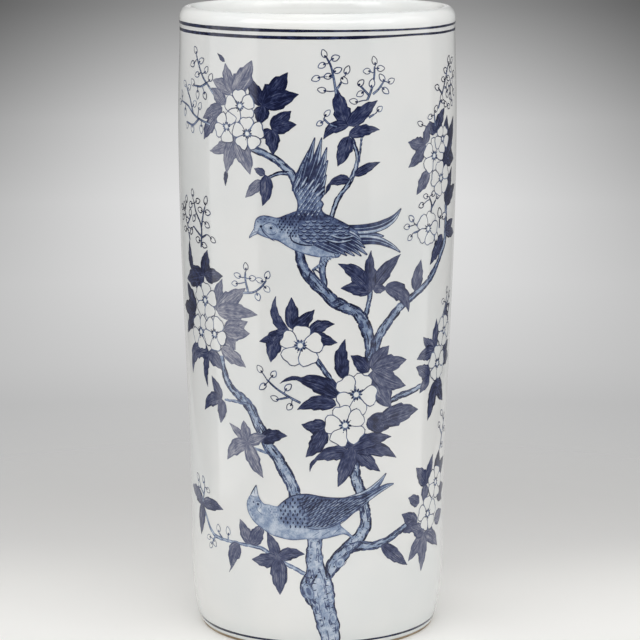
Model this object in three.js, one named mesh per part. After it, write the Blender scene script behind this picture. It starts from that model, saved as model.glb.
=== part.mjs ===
// A tall porcelain umbrella stand: an open barrel, widest near the shoulder, with a rounded lip
// and a turned foot. It is potted the way large cylinders are: the wall is thrown in two sections,
// and these, the lip, the floor and the foot ring are luted together with slip before the firing.
// Units are millimetres, +Z is up, and the origin is the centre of the plane the foot stands on.
import * as THREE from "three";

// ---- driving dimensions ----
const HEIGHT = 457.2; // 18 inches, from the floor to the crest of the lip
const BELLY_RADIUS = 101.6; // 8 inches across at the widest
const BELLY_HEIGHT = 368;
const NECK_RADIUS = 99.9; // the slight draw-in under the lip
const WAIST_RADIUS = 93.8; // narrowest upright part of the wall, above the rounded heel
const WAIST_HEIGHT = 58;
const FOOT_RADIUS = 86.5;
const WALL_THICKNESS = 8.5;
const FLOOR_THICKNESS = 10;
const FLOOR_BEVEL = 7; // slope of the floor's edge, wider below, where it is wedged into the wall
const COVE_RADIUS = 9; // hollow round the inside corner, where wall and floor meet
const COVE_EDGE = 72; // radius at which the cove runs out on the floor
const LIP_THICKNESS = 12;
const LIP_RISE = 9; // from the widest part of the lip to its crest
const LIP_SWELL = 0.6; // how far the lip stands proud of the neck
const THROAT_HEIGHT = 26; // the inside closes in to the lip over this height
const JOINT_DROP = 3; // slope of the lip's joint, from its outer to its inner edge
const SECTION_JOINT = 214; // level seam between the two thrown sections of the wall
const FOOT_RING_HEIGHT = 4;
const FOOT_RING_WIDTH = 10;
const FOOT_COVE = 3; // hollow turned where the foot ring meets the underside
const SLIP = 0.3; // film of slip left in each luted joint
const EASE = 0.8; // edges softened with a wet sponge
const SEGMENTS = 80; // facets round the pot

// ---- heights and radii that follow from them ----
const LIP_MIDDLE = HEIGHT - LIP_RISE;
const LIP_JOINT = LIP_MIDDLE - 4;
const LIP_OUTER = NECK_RADIUS + LIP_SWELL;
const LIP_INNER = LIP_OUTER - LIP_THICKNESS;
const BODY_BOTTOM = FOOT_RING_HEIGHT + SLIP;
const FLOOR_TOP = BODY_BOTTOM + FLOOR_THICKNESS;
const FLOOR_SLIP = SLIP * Math.hypot(1, FLOOR_BEVEL / FLOOR_THICKNESS); // measured level

const point = (radius, height) => new THREE.Vector2(radius, height);

// The outside is one continuous line from foot to neck, drawn once and shared out.
const heel = new THREE.CubicBezierCurve(
  point(FOOT_RADIUS, 0),
  point(FOOT_RADIUS + 2.4, 7),
  point(WAIST_RADIUS, 20),
  point(WAIST_RADIUS, WAIST_HEIGHT),
);
const flare = new THREE.CubicBezierCurve(
  point(WAIST_RADIUS, WAIST_HEIGHT),
  point(WAIST_RADIUS + 0.3, WAIST_HEIGHT + 105),
  point(BELLY_RADIUS, BELLY_HEIGHT - 115),
  point(BELLY_RADIUS, BELLY_HEIGHT),
);
const shoulder = new THREE.CubicBezierCurve(
  point(BELLY_RADIUS, BELLY_HEIGHT),
  point(BELLY_RADIUS, BELLY_HEIGHT + 40),
  point(NECK_RADIUS, LIP_JOINT - 20),
  point(NECK_RADIUS, LIP_JOINT),
);

// The inside closes from the wall's thickness to the lip's over the last stretch.
const throatFoot = pointAtHeight(shoulder, LIP_MIDDLE - THROAT_HEIGHT);
const throat = new THREE.CubicBezierCurve(
  point(throatFoot.x - WALL_THICKNESS, throatFoot.y),
  point(throatFoot.x - WALL_THICKNESS - 0.6, throatFoot.y + THROAT_HEIGHT * 0.45),
  point(LIP_INNER, LIP_MIDDLE - THROAT_HEIGHT * 0.3),
  point(LIP_INNER, LIP_MIDDLE),
);

/** The point of a rising curve at a given height, found by halving. */
function pointAtHeight(curve, height) {
  let low = 0;
  let high = 1;
  for (let step = 0; step < 40; step += 1) {
    const middle = (low + high) / 2;
    if (curve.getPoint(middle).y < height) {
      low = middle;
    } else {
      high = middle;
    }
  }
  return curve.getPoint((low + high) / 2);
}

/** The stretch of a line of rising curves between two heights, from bottom to top. */
function stretch(curves, bottom, top) {
  const at = (height) => pointAtHeight(curves.find((c) => c.v3.y >= height), height);
  const inner = curves
    .flatMap((curve) => curve.getPoints(Math.ceil((curve.v3.y - curve.v0.y) / 26) + 3).slice(1))
    .filter((p) => p.y > bottom + 0.5 && p.y < top - 0.5);
  return [at(bottom), ...inner, at(top)];
}

/** The outside of the wall between two heights, from bottom to top. */
function outside(bottom, top) {
  return stretch([heel, flare, shoulder], bottom, top);
}

/** The inside of the wall between two heights, from top to bottom, one thickness in. */
function inside(bottom, top) {
  return outside(bottom, top).map((p) => point(p.x - WALL_THICKNESS, p.y)).reverse();
}

/** Points of an elliptical arc, from one angle to another, in degrees. */
function arc(centre, radiusX, radiusY, from, to, divisions) {
  const [start, end] = [from, to].map(THREE.MathUtils.degToRad);
  const curve = new THREE.EllipseCurve(
    centre.x, centre.y, radiusX, radiusY, start, end, end < start,
  );
  return curve.getPoints(divisions);
}

/** A part turned about +Z from its half-section, which is closed unless it starts on the axis. */
function turned(name, section, material) {
  const profile = section[0].x === 0 ? section : [...section, section[0].clone()];
  const geometry = new THREE.LatheGeometry(profile, SEGMENTS);
  geometry.rotateX(Math.PI / 2);
  const mesh = new THREE.Mesh(geometry, material);
  mesh.name = name;
  return mesh;
}

const glaze = new THREE.MeshStandardMaterial({ color: 0xe9ebe8, roughness: 0.12, metalness: 0 });
const biscuit = new THREE.MeshStandardMaterial({ color: 0xb9a688, roughness: 0.85, metalness: 0 });

/** The lower section of the wall, with a cove inside that runs out level with the floor. */
function lowerWall() {
  const coveCentre = point(COVE_EDGE, FLOOR_TOP + COVE_RADIUS);
  return turned("lower_wall", [
    ...outside(BODY_BOTTOM, SECTION_JOINT),
    ...inside(WAIST_HEIGHT, SECTION_JOINT),
    ...arc(coveCentre, COVE_RADIUS, COVE_RADIUS, 0, -90, 5),
    point(COVE_EDGE + FLOOR_BEVEL, BODY_BOTTOM),
  ], glaze);
}

/** The upper section of the wall, from the belly to the neck, thickening inwards to the lip. */
function upperWall() {
  return turned("upper_wall", [
    ...outside(SECTION_JOINT + SLIP, LIP_JOINT),
    ...stretch([throat], throatFoot.y, LIP_JOINT - JOINT_DROP).reverse(),
    ...inside(SECTION_JOINT + SLIP, throatFoot.y).slice(1),
  ], glaze);
}

/** The lip, a soft roll thicker than the wall, seated on a joint that slopes inwards. */
function lip() {
  const outerEdge = point(NECK_RADIUS, LIP_JOINT + SLIP);
  const nose = arc(
    point(LIP_OUTER - LIP_THICKNESS / 2, LIP_MIDDLE), LIP_THICKNESS / 2, LIP_RISE, 0, 180, 14,
  );
  const innerEdge = pointAtHeight(throat, LIP_JOINT + SLIP - JOINT_DROP);
  return turned("lip", [outerEdge, ...nose, innerEdge], glaze);
}

/** The floor, a slab wedged up into the wall from below and carried by the foot ring. */
function floor() {
  const topRadius = COVE_EDGE - FLOOR_SLIP;
  const section = [
    point(0, BODY_BOTTOM),
    point(topRadius + FLOOR_BEVEL, BODY_BOTTOM),
    point(topRadius, FLOOR_TOP),
    point(0, FLOOR_TOP),
  ];
  return turned("floor", section, glaze);
}

/** The turned foot ring, wiped bare of glaze so that it doesn't stick to the kiln shelf. */
function footRing() {
  const innerRadius = FOOT_RADIUS - FOOT_RING_WIDTH;
  const coveCentre = point(innerRadius - FOOT_COVE, FOOT_RING_HEIGHT - FOOT_COVE);
  const section = [
    point(innerRadius + EASE, 0),
    point(FOOT_RADIUS - EASE, 0),
    pointAtHeight(heel, EASE),
    pointAtHeight(heel, FOOT_RING_HEIGHT / 2),
    pointAtHeight(heel, FOOT_RING_HEIGHT),
    ...arc(coveCentre, FOOT_COVE, FOOT_COVE, 90, 0, 4),
    point(innerRadius, EASE),
  ];
  return turned("foot_ring", section, biscuit);
}

const stand = new THREE.Group();
stand.add(lowerWall(), upperWall(), lip(), floor(), footRing());

export default stand;
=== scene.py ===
"""Looks of a tall blue and white porcelain umbrella stand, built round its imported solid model.

The pot is a glazed barrel with a bare foot. Its decoration, two birds in a blossoming tree, is
laid out flat, in millimetres round and up the wall, and then wrapped on to the barrel as thin
layers of colour: washes first, then bark, leaves, white petals, fine lines and plumage.
"""

import logging
import math
import random
from dataclasses import dataclass, field
from enum import Enum
from typing import Callable, Iterable, Sequence

import bpy
import numpy as np
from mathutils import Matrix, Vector, geometry


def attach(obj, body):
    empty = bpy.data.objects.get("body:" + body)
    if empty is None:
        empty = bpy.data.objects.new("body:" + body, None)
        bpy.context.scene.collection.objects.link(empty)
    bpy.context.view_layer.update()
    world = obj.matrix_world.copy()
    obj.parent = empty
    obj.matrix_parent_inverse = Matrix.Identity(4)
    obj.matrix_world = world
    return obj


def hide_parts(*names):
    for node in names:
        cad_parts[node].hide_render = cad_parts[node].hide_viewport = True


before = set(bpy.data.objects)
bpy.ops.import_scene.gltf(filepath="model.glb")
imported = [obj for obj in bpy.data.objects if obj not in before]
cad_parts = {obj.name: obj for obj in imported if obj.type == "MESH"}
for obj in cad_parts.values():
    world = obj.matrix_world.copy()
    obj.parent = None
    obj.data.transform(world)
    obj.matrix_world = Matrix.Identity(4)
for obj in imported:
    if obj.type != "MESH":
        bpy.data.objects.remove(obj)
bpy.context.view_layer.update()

log = logging.getLogger("umbrella_stand")

MM = 0.001
Spot = Sequence[float]  # a place on the unrolled wall: round and up, in millimetres
Shade = float | Callable[[np.ndarray], np.ndarray]
Material = bpy.types.Material
Piece = bpy.types.Object
Socket = bpy.types.NodeSocket
Value = float | Sequence[float] | Socket  # what can go into a node
Colour = tuple[int, int, int]  # as a screen shows it, from 0 to 255


# ------------ the form of the pot


def bezier(a: Spot, b: Spot, c: Spot, d: Spot, count: int) -> np.ndarray:
    """Points of a cubic curve.

    Args:
        a, b, c, d: The curve's start, its two handles and its end.
        count: How many points to take.

    Returns:
        An array with one row of two numbers for each point.
    """
    t = np.linspace(0, 1, count)[:, None]
    p, q, r, s = (np.array(v, float) for v in (a, b, c, d))
    return p * (1 - t) ** 3 + 3 * q * t * (1 - t) ** 2 + 3 * r * t * t * (1 - t) + s * t**3


def quarter(centre: Spot, reach: Spot, start: float, end: float, count: int) -> np.ndarray:
    """Points of an arc of an ellipse.

    Args:
        centre: Its middle.
        reach: Its half-axes.
        start, end: The angles that it runs from and to, in degrees.
        count: How many points to take.

    Returns:
        An array with one row of two numbers for each point.
    """
    turn = np.radians(np.linspace(start, end, count))
    return np.array(centre) + np.array(reach) * np.column_stack([np.cos(turn), np.sin(turn)])


@dataclass
class BarrelForm:
    """The turned form of the pot, in millimetres, on which everything else is laid."""

    height: float = 457.2
    belly: float = 101.6
    belly_height: float = 368.0
    neck: float = 99.9
    lip_joint: float = 444.2
    lip_middle: float = 448.2
    lip_outer: float = 100.5
    lip_crest: float = 93.1  # radius of the lip's highest line
    lip_thickness: float = 12.0
    waist: float = 93.8
    waist_height: float = 58.0
    foot: float = 86.5
    wall: float = 8.5
    floor_top: float = 14.3
    underside: float = 4.3
    cove: float = 9.0
    cove_edge: float = 72.0
    throat_height: float = 26.0
    seam: float = 214.0
    glaze_edge: float = 2.1  # the glaze stops this far above the foot's face
    inset: float = 0.4  # keeps the painted layers inside the solid model's box
    unroll: float = 97.5  # radius at which the wall is unrolled flat
    outer: np.ndarray = field(init=False)

    def __post_init__(self) -> None:
        """Draws the outside once, from the foot to the crest of the lip."""
        heel = bezier((self.foot, 0), (self.foot + 2.4, 7),
                      (self.waist, 20), (self.waist, self.waist_height), 40)
        flare = bezier((self.waist, self.waist_height), (self.waist + 0.3, self.waist_height + 105),
                       (self.belly, self.belly_height - 115), (self.belly, self.belly_height), 70)
        shoulder = bezier((self.belly, self.belly_height), (self.belly, self.belly_height + 40),
                          (self.neck, self.lip_joint - 20), (self.neck, self.lip_joint), 40)
        nose = quarter((self.lip_crest, self.lip_middle),
                       (self.lip_outer - self.lip_crest, self.height - self.lip_middle), 0, 90, 24)
        self.outer = np.vstack([heel, flare[1:], shoulder[1:], nose])

    @property
    def half_round(self) -> float:
        """Half the way round the unrolled wall."""
        return math.pi * self.unroll

    def radius(self, height: float | np.ndarray) -> np.ndarray:
        """Radius of the outside at each height."""
        return np.interp(height, self.outer[:, 1], self.outer[:, 0])

    def wrap(self, flat: np.ndarray) -> tuple[np.ndarray, np.ndarray]:
        """Wraps flat places on to the pot.

        Args:
            flat: Rows of the way round, the height and the lift off the surface, in millimetres.

        Returns:
            The places in metres, and the surface's normal at each.
        """
        around, height, lift = flat.T
        angle = around / self.unroll
        radius = self.radius(height) - self.inset + lift
        lean = (self.radius(height + 0.3) - self.radius(height - 0.3)) / 0.6
        across = np.column_stack([np.sin(angle), -np.cos(angle)])
        places = np.column_stack([across * radius[:, None], height]) * MM
        normals = np.column_stack([across, -lean])
        return places, normals / np.linalg.norm(normals, axis=1)[:, None]


# ------------ meshes


def disc_faces(points: int, rings: int) -> list[tuple[int, ...]]:
    """Facets of a disc, made in rings round point 0.

    Args:
        points: How many points there are in each ring.
        rings: How many rings there are.

    Returns:
        The numbers of each facet's points.
    """
    after = [*range(1, points), 0]
    faces: list[tuple[int, ...]] = [(0, 1 + k, 1 + after[k]) for k in range(points)]
    for inner in range(1, 1 + (rings - 1) * points, points):
        outer = inner + points
        faces += [(inner + k, outer + k, outer + after[k], inner + after[k]) for k in range(points)]
    return faces


def new_piece(name: str, places: np.ndarray, faces: Sequence[Sequence[int]],
              *materials: Material, rounded: bool = True) -> Piece:
    """Makes a piece from its points and facets.

    Args:
        name: The piece's name.
        places: Its points, in metres.
        faces: The numbers of each facet's points.
        *materials: The finishes that it takes.
        rounded: Whether the light runs smoothly from facet to facet.

    Returns:
        The new piece.
    """
    mesh = bpy.data.meshes.new(name)
    mesh.from_pydata(np.asarray(places, float).tolist(), [], faces)
    mesh.polygons.foreach_set("use_smooth", [rounded] * len(mesh.polygons))
    for material in materials:
        mesh.materials.append(material)
    mesh.update()
    piece = bpy.data.objects.new(name, mesh)
    bpy.context.scene.collection.objects.link(piece)
    return piece


def place_piece(piece: Piece, slot: str, *nodes: str) -> None:
    """Ties a piece to the stand.

    Args:
        piece: The new piece.
        slot: The record's material slot for the piece; not used.
        *nodes: The solid model's nodes that it stands for.
    """
    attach(piece, "root")
    if nodes:
        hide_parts(*nodes)
    log.info("%s: %d faces", piece.name, len(piece.data.polygons))


# ------------ flat drawing


def distances(line: np.ndarray) -> np.ndarray:
    """How far along a line each of its points lies."""
    return np.concatenate([[0], np.cumsum(np.hypot(*np.diff(line, axis=0).T))])


def half_widths(path: Sequence[Spot], widths: Sequence[float], count: int) -> np.ndarray:
    """Half the width at even steps along a path, from the full widths at its points."""
    run = distances(np.array(path, float))
    return np.interp(np.linspace(0, 1, count), run / run[-1], widths) / 2


def smooth(points: Sequence[Spot], step: float, closed: bool = False) -> np.ndarray:
    """A smooth line through a few points.

    Args:
        points: The points that the line passes through.
        step: Spacing of the points returned, in millimetres.
        closed: Whether the line comes back to its start.

    Returns:
        Evenly spaced points of the line. A closed line doesn't repeat its first point.
    """
    p = np.array(points, float)
    if closed:
        p = np.vstack([p[-1], p, p[0], p[1]])
    else:
        p = np.vstack([2 * p[0] - p[1], p, 2 * p[-1] - p[-2]])
    t = np.linspace(0, 1, 12, endpoint=False)[:, None]
    spans = [0.5 * (2 * b + (c - a) * t + (2 * a - 5 * b + 4 * c - d) * t**2
                    + (3 * b - a - 3 * c + d) * t**3) for a, b, c, d in zip(p, p[1:], p[2:], p[3:])]
    line = np.vstack([*spans, p[-2][None]])
    length = distances(line)
    even = np.linspace(0, length[-1], max(3, math.ceil(length[-1] / step) + 1))
    line = np.column_stack([np.interp(even, length, line[:, k]) for k in (0, 1)])
    return line[:-1] if closed else line


def sideways(line: np.ndarray) -> np.ndarray:
    """Unit vectors to the left of each point of a line.

    Args:
        line: The line's points.

    Returns:
        A vector for each point.
    """
    way = np.gradient(line, axis=0)
    way /= np.maximum(np.hypot(*way.T), 1e-9)[:, None]
    return np.column_stack([-way[:, 1], way[:, 0]])


def turned(places: Sequence[Spot] | np.ndarray, angle: float, centre: Spot) -> np.ndarray:
    """Places round the origin, turned by an angle in radians and moved to a centre."""
    c, s = math.cos(angle), math.sin(angle)
    return np.array(centre) + np.array(places, float) @ np.array([[c, s], [-s, c]])


def oval(width: float, height: float, points: int = 8) -> np.ndarray:
    """A few points round an oval about the origin."""
    t = np.linspace(0, 2 * math.pi, points, endpoint=False)
    return np.column_stack([np.cos(t) * width / 2, np.sin(t) * height / 2])


def distance_inside(places: np.ndarray, edge: np.ndarray) -> np.ndarray:
    """How deep places lie inside a closed outline, in millimetres.

    Args:
        places: The places to measure.
        edge: The outline's points, in order.

    Returns:
        The distance to the outline, negative outside it.
    """
    a, b = edge, np.roll(edge, -1, axis=0)
    way = b - a
    length = np.maximum((way**2).sum(1), 1e-12)
    t = np.clip(((places[:, None] - a) * way).sum(2) / length, 0, 1)
    near = np.hypot(*np.moveaxis(places[:, None] - a - t[..., None] * way, -1, 0)).min(1)
    x, y = places[:, :1], places[:, 1:]
    crosses = (a[:, 1] > y) != (b[:, 1] > y)
    rise = np.where(b[:, 1] == a[:, 1], 1e-9, b[:, 1] - a[:, 1])
    hit = x < a[:, 0] + (y - a[:, 1]) / rise * (b[:, 0] - a[:, 0])
    return np.where((crosses & hit).sum(1) % 2 == 1, near, -near)


class Sheet:
    """One thin layer of colour, gathered flat and wrapped round the pot at the end."""

    STEP = 1.8  # longest side of a stroke's facet, in millimetres
    EDGE_STEP = 1.5  # spacing of the points round a broad fill
    PITCH = 2.2  # spacing of the points inside it
    CLEAR = 0.8  # how far those stay from its edge
    RIM = 3.0  # width of its darker rim
    MARGIN = 0.01  # left free round the layer's flat map

    def __init__(self, name: str) -> None:
        """Starts an empty layer.

        Args:
            name: The name that its piece will have.
        """
        self.name = name
        self.places: list[np.ndarray] = []
        self.grain: list[np.ndarray] = []
        self.faces: list[tuple[int, ...]] = []
        self.count = 0

    def _add(self, flat: np.ndarray, lift: float, *grain: float | np.ndarray) -> int:
        """Adds points to the layer.

        Args:
            flat: Where they lie.
            lift: Height off the glaze.
            *grain: The way along the stroke, the way across it and the load of colour.

        Returns:
            The number of the first.
        """
        first = self.count
        self.places.append(np.column_stack([flat, np.full(len(flat), lift)]))
        self.grain.append(np.column_stack([np.broadcast_to(part, len(flat)) for part in grain]))
        self.count += len(flat)
        return first

    def _face(self, first: int, flat: np.ndarray, ring: Sequence[int]) -> None:
        """Adds a facet, turned to face outwards, unless it has no area.

        Args:
            first: The number of the first of the points added last.
            flat: Where those points lie.
            ring: Which of them it joins, counted from the first.
        """
        u, z = flat[list(ring)].T
        area = (u * np.roll(z, -1) - np.roll(u, -1) * z).sum() / 2
        if abs(area) > 1e-4:
            self.faces.append(tuple(first + k for k in (ring if area > 0 else ring[::-1])))

    def strip(self, line: np.ndarray, left: float | np.ndarray, right: float | np.ndarray,
              lift: float, shade: float, columns: int = 2) -> None:
        """A ribbon along a line, with a width of its own on each side.

        Args:
            line: Points down the middle.
            left: Width to the left of each point.
            right: Width to the right of each point.
            lift: Height off the glaze, in millimetres.
            shade: How strong the colour is, from 0 to 1.
            columns: Facets across.
        """
        rows, wide = len(line), columns + 1
        across = np.linspace(-1, 1, wide)
        left, right = (np.broadcast_to(width, rows)[:, None] for width in (left, right))
        reach = across * np.where(across < 0, right, left)
        flat = (line[:, None] + sideways(line)[:, None] * reach[..., None]).reshape(-1, 2)
        first = self._add(flat, lift, np.repeat(np.linspace(0, 1, rows), wide), np.tile(across, rows), shade)
        for row in range(rows - 1):
            for a in range(row * wide, row * wide + columns):
                self._face(first, flat, (a, a + wide, a + wide + 1, a + 1))

    def stroke(self, points: Sequence[Spot], width: float, lift: float,
               shade: float = 0.9, taper: float = 0.35, step: float = STEP) -> None:
        """One pull of the brush.

        Args:
            points: A few points of its path.
            width: Its width.
            lift: Height off the glaze.
            shade: Strength of the colour.
            taper: Width left at the two ends, as a share of the full width.
            step: Longest facet along it, in millimetres.
        """
        line = smooth(points, step)
        t = np.linspace(0, 1, len(line))
        half = width / 2 * (taper + (1 - taper) * np.clip(np.minimum(t, 1 - t) * 6, 0, 1) ** 0.6)
        self.strip(line, half, half, lift, shade, 1)

    def disc(self, outline: np.ndarray, centre: Spot, lift: float, shade: float, rings: int = 2) -> None:
        """A small rounded fill, made in rings round its centre.

        Args:
            outline: Points of its edge, in order.
            centre: Its middle.
            lift: Height off the glaze.
            shade: Strength of the colour.
            rings: Facets from the middle to the edge.
        """
        n, middle = len(outline), np.array(centre, float)
        ring = np.arange(rings) + 1
        flat = np.vstack([middle, *(middle + (outline - middle) * number / rings for number in ring)])
        turn = np.concatenate([[0.5], np.tile(np.linspace(0, 1, n), rings)])
        first = self._add(flat, lift, turn, np.concatenate([[0], np.repeat(ring / rings, n)]), shade)
        self.faces += [tuple(first + k for k in face) for face in disc_faces(n, rings)]

    def dot(self, spot: Spot, width: float, height: float, turn: float, lift: float, shade: float) -> None:
        """A small oval touch of the brush, turned by an angle in radians."""
        self.disc(turned(oval(width, height), turn, spot), spot, lift, shade, 1)

    def patch(self, outline: Sequence[Spot], lift: float, shade: Shade) -> None:
        """A broad fill of any outline, with facets small enough to follow the wall.

        Args:
            outline: A few points round it.
            lift: Height off the glaze.
            shade: Strength of the colour, or a function of places that gives it.
        """
        edge = smooth(outline, self.EDGE_STEP, closed=True)
        lo, hi = edge.min(0), edge.max(0)
        grid = np.meshgrid(*(np.arange(a, b, self.PITCH) for a, b in zip(lo, hi)))
        grid = np.stack(grid, -1).reshape(-1, 2)
        inner = grid[distance_inside(grid, edge) > self.CLEAR]
        points = [Vector(p) for p in np.vstack([edge, inner])]
        edges = [(k, (k + 1) % len(edge)) for k in range(len(edge))]
        made, _, faces, *_ = geometry.delaunay_2d_cdt(points, edges, [], 1, 1e-5, False)
        flat = np.array(made)
        along = (flat[:, 0] - lo[0]) / (hi[0] - lo[0])
        aside = 1 - np.clip(distance_inside(flat, edge) / self.RIM, 0, 1)
        first = self._add(flat, lift, along, aside, shade(flat) if callable(shade) else shade)
        middles = np.array([flat[list(face)].mean(0) for face in faces])
        for face, deep in zip(faces, distance_inside(middles, edge)):
            if deep > 0:
                self._face(first, flat, face)

    def build(self, form: BarrelForm, material: Material, turn: float = 0.0) -> Piece:
        """Wraps the layer round the pot.

        Args:
            form: The pot.
            material: The finish that it takes.
            turn: How far round the pot it starts, in millimetres.

        Returns:
            The new piece.
        """
        flat = np.vstack(self.places)
        places, normals = form.wrap(flat + np.array([turn, 0, 0]))
        piece = new_piece(self.name, places, self.faces, material)
        mesh = piece.data
        grain = mesh.attributes.new("grain", "FLOAT_VECTOR", "POINT")
        grain.data.foreach_set("vector", np.vstack(self.grain).astype(np.float32).ravel())
        lo, hi = flat[:, :2].min(0), flat[:, :2].max(0)
        uv = self.MARGIN + (1 - 2 * self.MARGIN) * (flat[:, :2] - lo) / (hi - lo)
        corners = np.empty(len(mesh.loops), int)
        mesh.loops.foreach_get("vertex_index", corners)
        layer = mesh.uv_layers.new(name="OFBake")
        layer.data.foreach_set("uv", uv[corners].astype(np.float32).ravel())
        mesh.normals_split_custom_set_from_vertices(normals.tolist())
        return piece


# ------------ finishes


def linear(colour: Sequence[int]) -> tuple[float, ...]:
    """A screen colour of 0 to 255 as linear light, with its alpha."""
    light = (((c / 255 + 0.055) / 1.055) ** 2.4 if c > 10 else c / 255 / 12.92 for c in colour)
    return (*light, 1.0)


class Nodes:
    """A short way to write a tree of shader nodes."""

    def __init__(self, owner: Material | bpy.types.World) -> None:
        """Takes up a tree and empties it.

        Args:
            owner: The material or the world that it belongs to.
        """
        owner.use_nodes = True
        self.owner = owner
        self.tree = owner.node_tree
        self.tree.nodes.clear()

    @classmethod
    def material(cls, name: str) -> "Nodes":
        """Starts a new material."""
        return cls(bpy.data.materials.new(name))

    def feed(self, socket: Socket, value: Value) -> None:
        """Fills an input.

        Args:
            socket: The input.
            value: Another node's output to link to it, or its value.
        """
        if isinstance(value, Socket):
            self.tree.links.new(value, socket)
        else:
            socket.default_value = value

    def add(self, kind: str, *values: Value, **settings: Value | str | bool) -> bpy.types.Node:
        """Adds a node.

        Args:
            kind: The node's type, without the ShaderNode at its front.
            *values: What goes into its first inputs.
            **settings: Properties, or inputs by name with spaces as underscores.

        Returns:
            The new node.
        """
        node = self.tree.nodes.new("ShaderNode" + kind)
        for key, value in settings.items():
            if hasattr(node, key):
                setattr(node, key, value)
            else:
                self.feed(node.inputs[key.replace("_", " ")], value)
        for socket, value in zip(node.inputs, values):
            self.feed(socket, value)
        return node

    def math(self, operation: str, *values: Value, clamp: bool = False) -> Socket:
        """A sum of sockets and numbers, held from 0 to 1 if it is clamped."""
        return self.add("Math", *values, operation=operation, use_clamp=clamp).outputs[0]

    def place(self) -> Socket:
        """The place on the piece, in metres."""
        return self.add("TexCoord").outputs["Object"]

    def noise(self, scale: float, detail: float) -> Socket:
        """Soft mottling that is fixed to the piece."""
        return self.add("TexNoise", self.place(), Scale=scale, Detail=detail).outputs["Fac"]

    def band(self, value: Socket, low: float, high: float,
             out_low: float = 0.0, out_high: float = 1.0) -> Socket:
        """Fits a value's range to another, smoothly and held at both ends."""
        ends = (low, high, out_low, out_high)
        return self.add("MapRange", value, *ends, interpolation_type="SMOOTHSTEP").outputs[0]

    def mix(self, share: Value, a: Value, b: Value) -> Socket:
        """Blends two colours.

        Args:
            share: How much of the second there is.
            a, b: The colours.

        Returns:
            The blend.
        """
        node = self.add("Mix", share, data_type="RGBA")
        self.feed(node.inputs[6], a)
        self.feed(node.inputs[7], b)
        return node.outputs[2]

    def ramp(self, value: Socket, stops: Iterable[tuple[float, Colour]]) -> Socket:
        """Turns a value into a colour.

        Args:
            value: The value, from 0 to 1.
            stops: Values with their colours.

        Returns:
            The colour.
        """
        node = self.add("ValToRGB", value)
        elements = node.color_ramp.elements
        for k, (place, colour) in enumerate(stops):
            element = elements[k] if k < 2 else elements.new(place)
            element.position = place
            element.color = linear(colour)
        return node.outputs[0]

    def surface(self, shader: bpy.types.Node) -> Material | bpy.types.World:
        """Ends the tree.

        Args:
            shader: The last node before the end.

        Returns:
            What the tree belongs to.
        """
        self.add("OutputWorld" if isinstance(self.owner, bpy.types.World) else "OutputMaterial",
                 shader.outputs[0])
        return self.owner


@dataclass(frozen=True)
class Glaze:
    """The clear, glossy glaze that lies over all the pot, colour and ground alike."""

    roughness: float = 0.085
    unevenness: float = 0.035
    swell: float = 0.0015  # depth of the glaze's slow waves, in metres
    refraction: float = 1.5

    def finish(self, nodes: Nodes, colour: Socket) -> Material:
        """Puts the glaze over a colour.

        Args:
            nodes: The material's nodes so far.
            colour: The colour beneath the glaze.

        Returns:
            The finished material.
        """
        rough = nodes.band(nodes.noise(38, 2), 0.3, 0.75, self.roughness, self.roughness + self.unevenness)
        waves = nodes.math("MULTIPLY_ADD", nodes.noise(160, 2), 0.02, nodes.noise(9, 1))
        bump = nodes.add("Bump", Height=waves, Strength=0.45, Distance=self.swell)
        return nodes.surface(nodes.add("BsdfPrincipled", Base_Color=colour, Roughness=rough,
                                       Normal=bump.outputs[0], IOR=self.refraction))


@dataclass(frozen=True)
class WhiteGround(Glaze):
    """The white porcelain body under its glaze, faintly cool where the glaze lies thick."""

    name: str = "white_ground"
    thin: Colour = (231, 231, 229)
    thick: Colour = (224, 226, 225)
    pooled: Colour = (206, 214, 214)
    speck: Colour = (120, 112, 104)

    def material(self) -> Material:
        """Makes the material.

        Returns:
            The ground, with clouded glaze, pooling near the foot and a few specks.
        """
        nodes = Nodes.material(self.name)
        base = nodes.ramp(nodes.band(nodes.noise(11, 3), 0.35, 0.7), ((0, self.thin), (1, self.thick)))
        up = nodes.add("SeparateXYZ", nodes.place()).outputs[2]
        low = nodes.band(up, 0.0, 0.02, 0.5, 0.0)
        pooling = nodes.math("MULTIPLY", low, nodes.band(nodes.noise(70, 2), 0.3, 0.7, 0.5, 1.0))
        base = nodes.mix(pooling, base, linear(self.pooled))
        cells = nodes.add("TexVoronoi", nodes.place(), Scale=105.0)
        tiny = nodes.band(cells.outputs["Distance"], 0.02, 0.05, 0.5, 0.0)
        rare = nodes.band(nodes.noise(21, 1), 0.70, 0.74)
        return self.finish(nodes, nodes.mix(nodes.math("MULTIPLY", tiny, rare), base, linear(self.speck)))


class Touch(Enum):
    """How the cobalt was laid on."""

    WASH = "wash"
    LEAF = "leaf"
    LINE = "line"
    PLUME = "plume"


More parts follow.
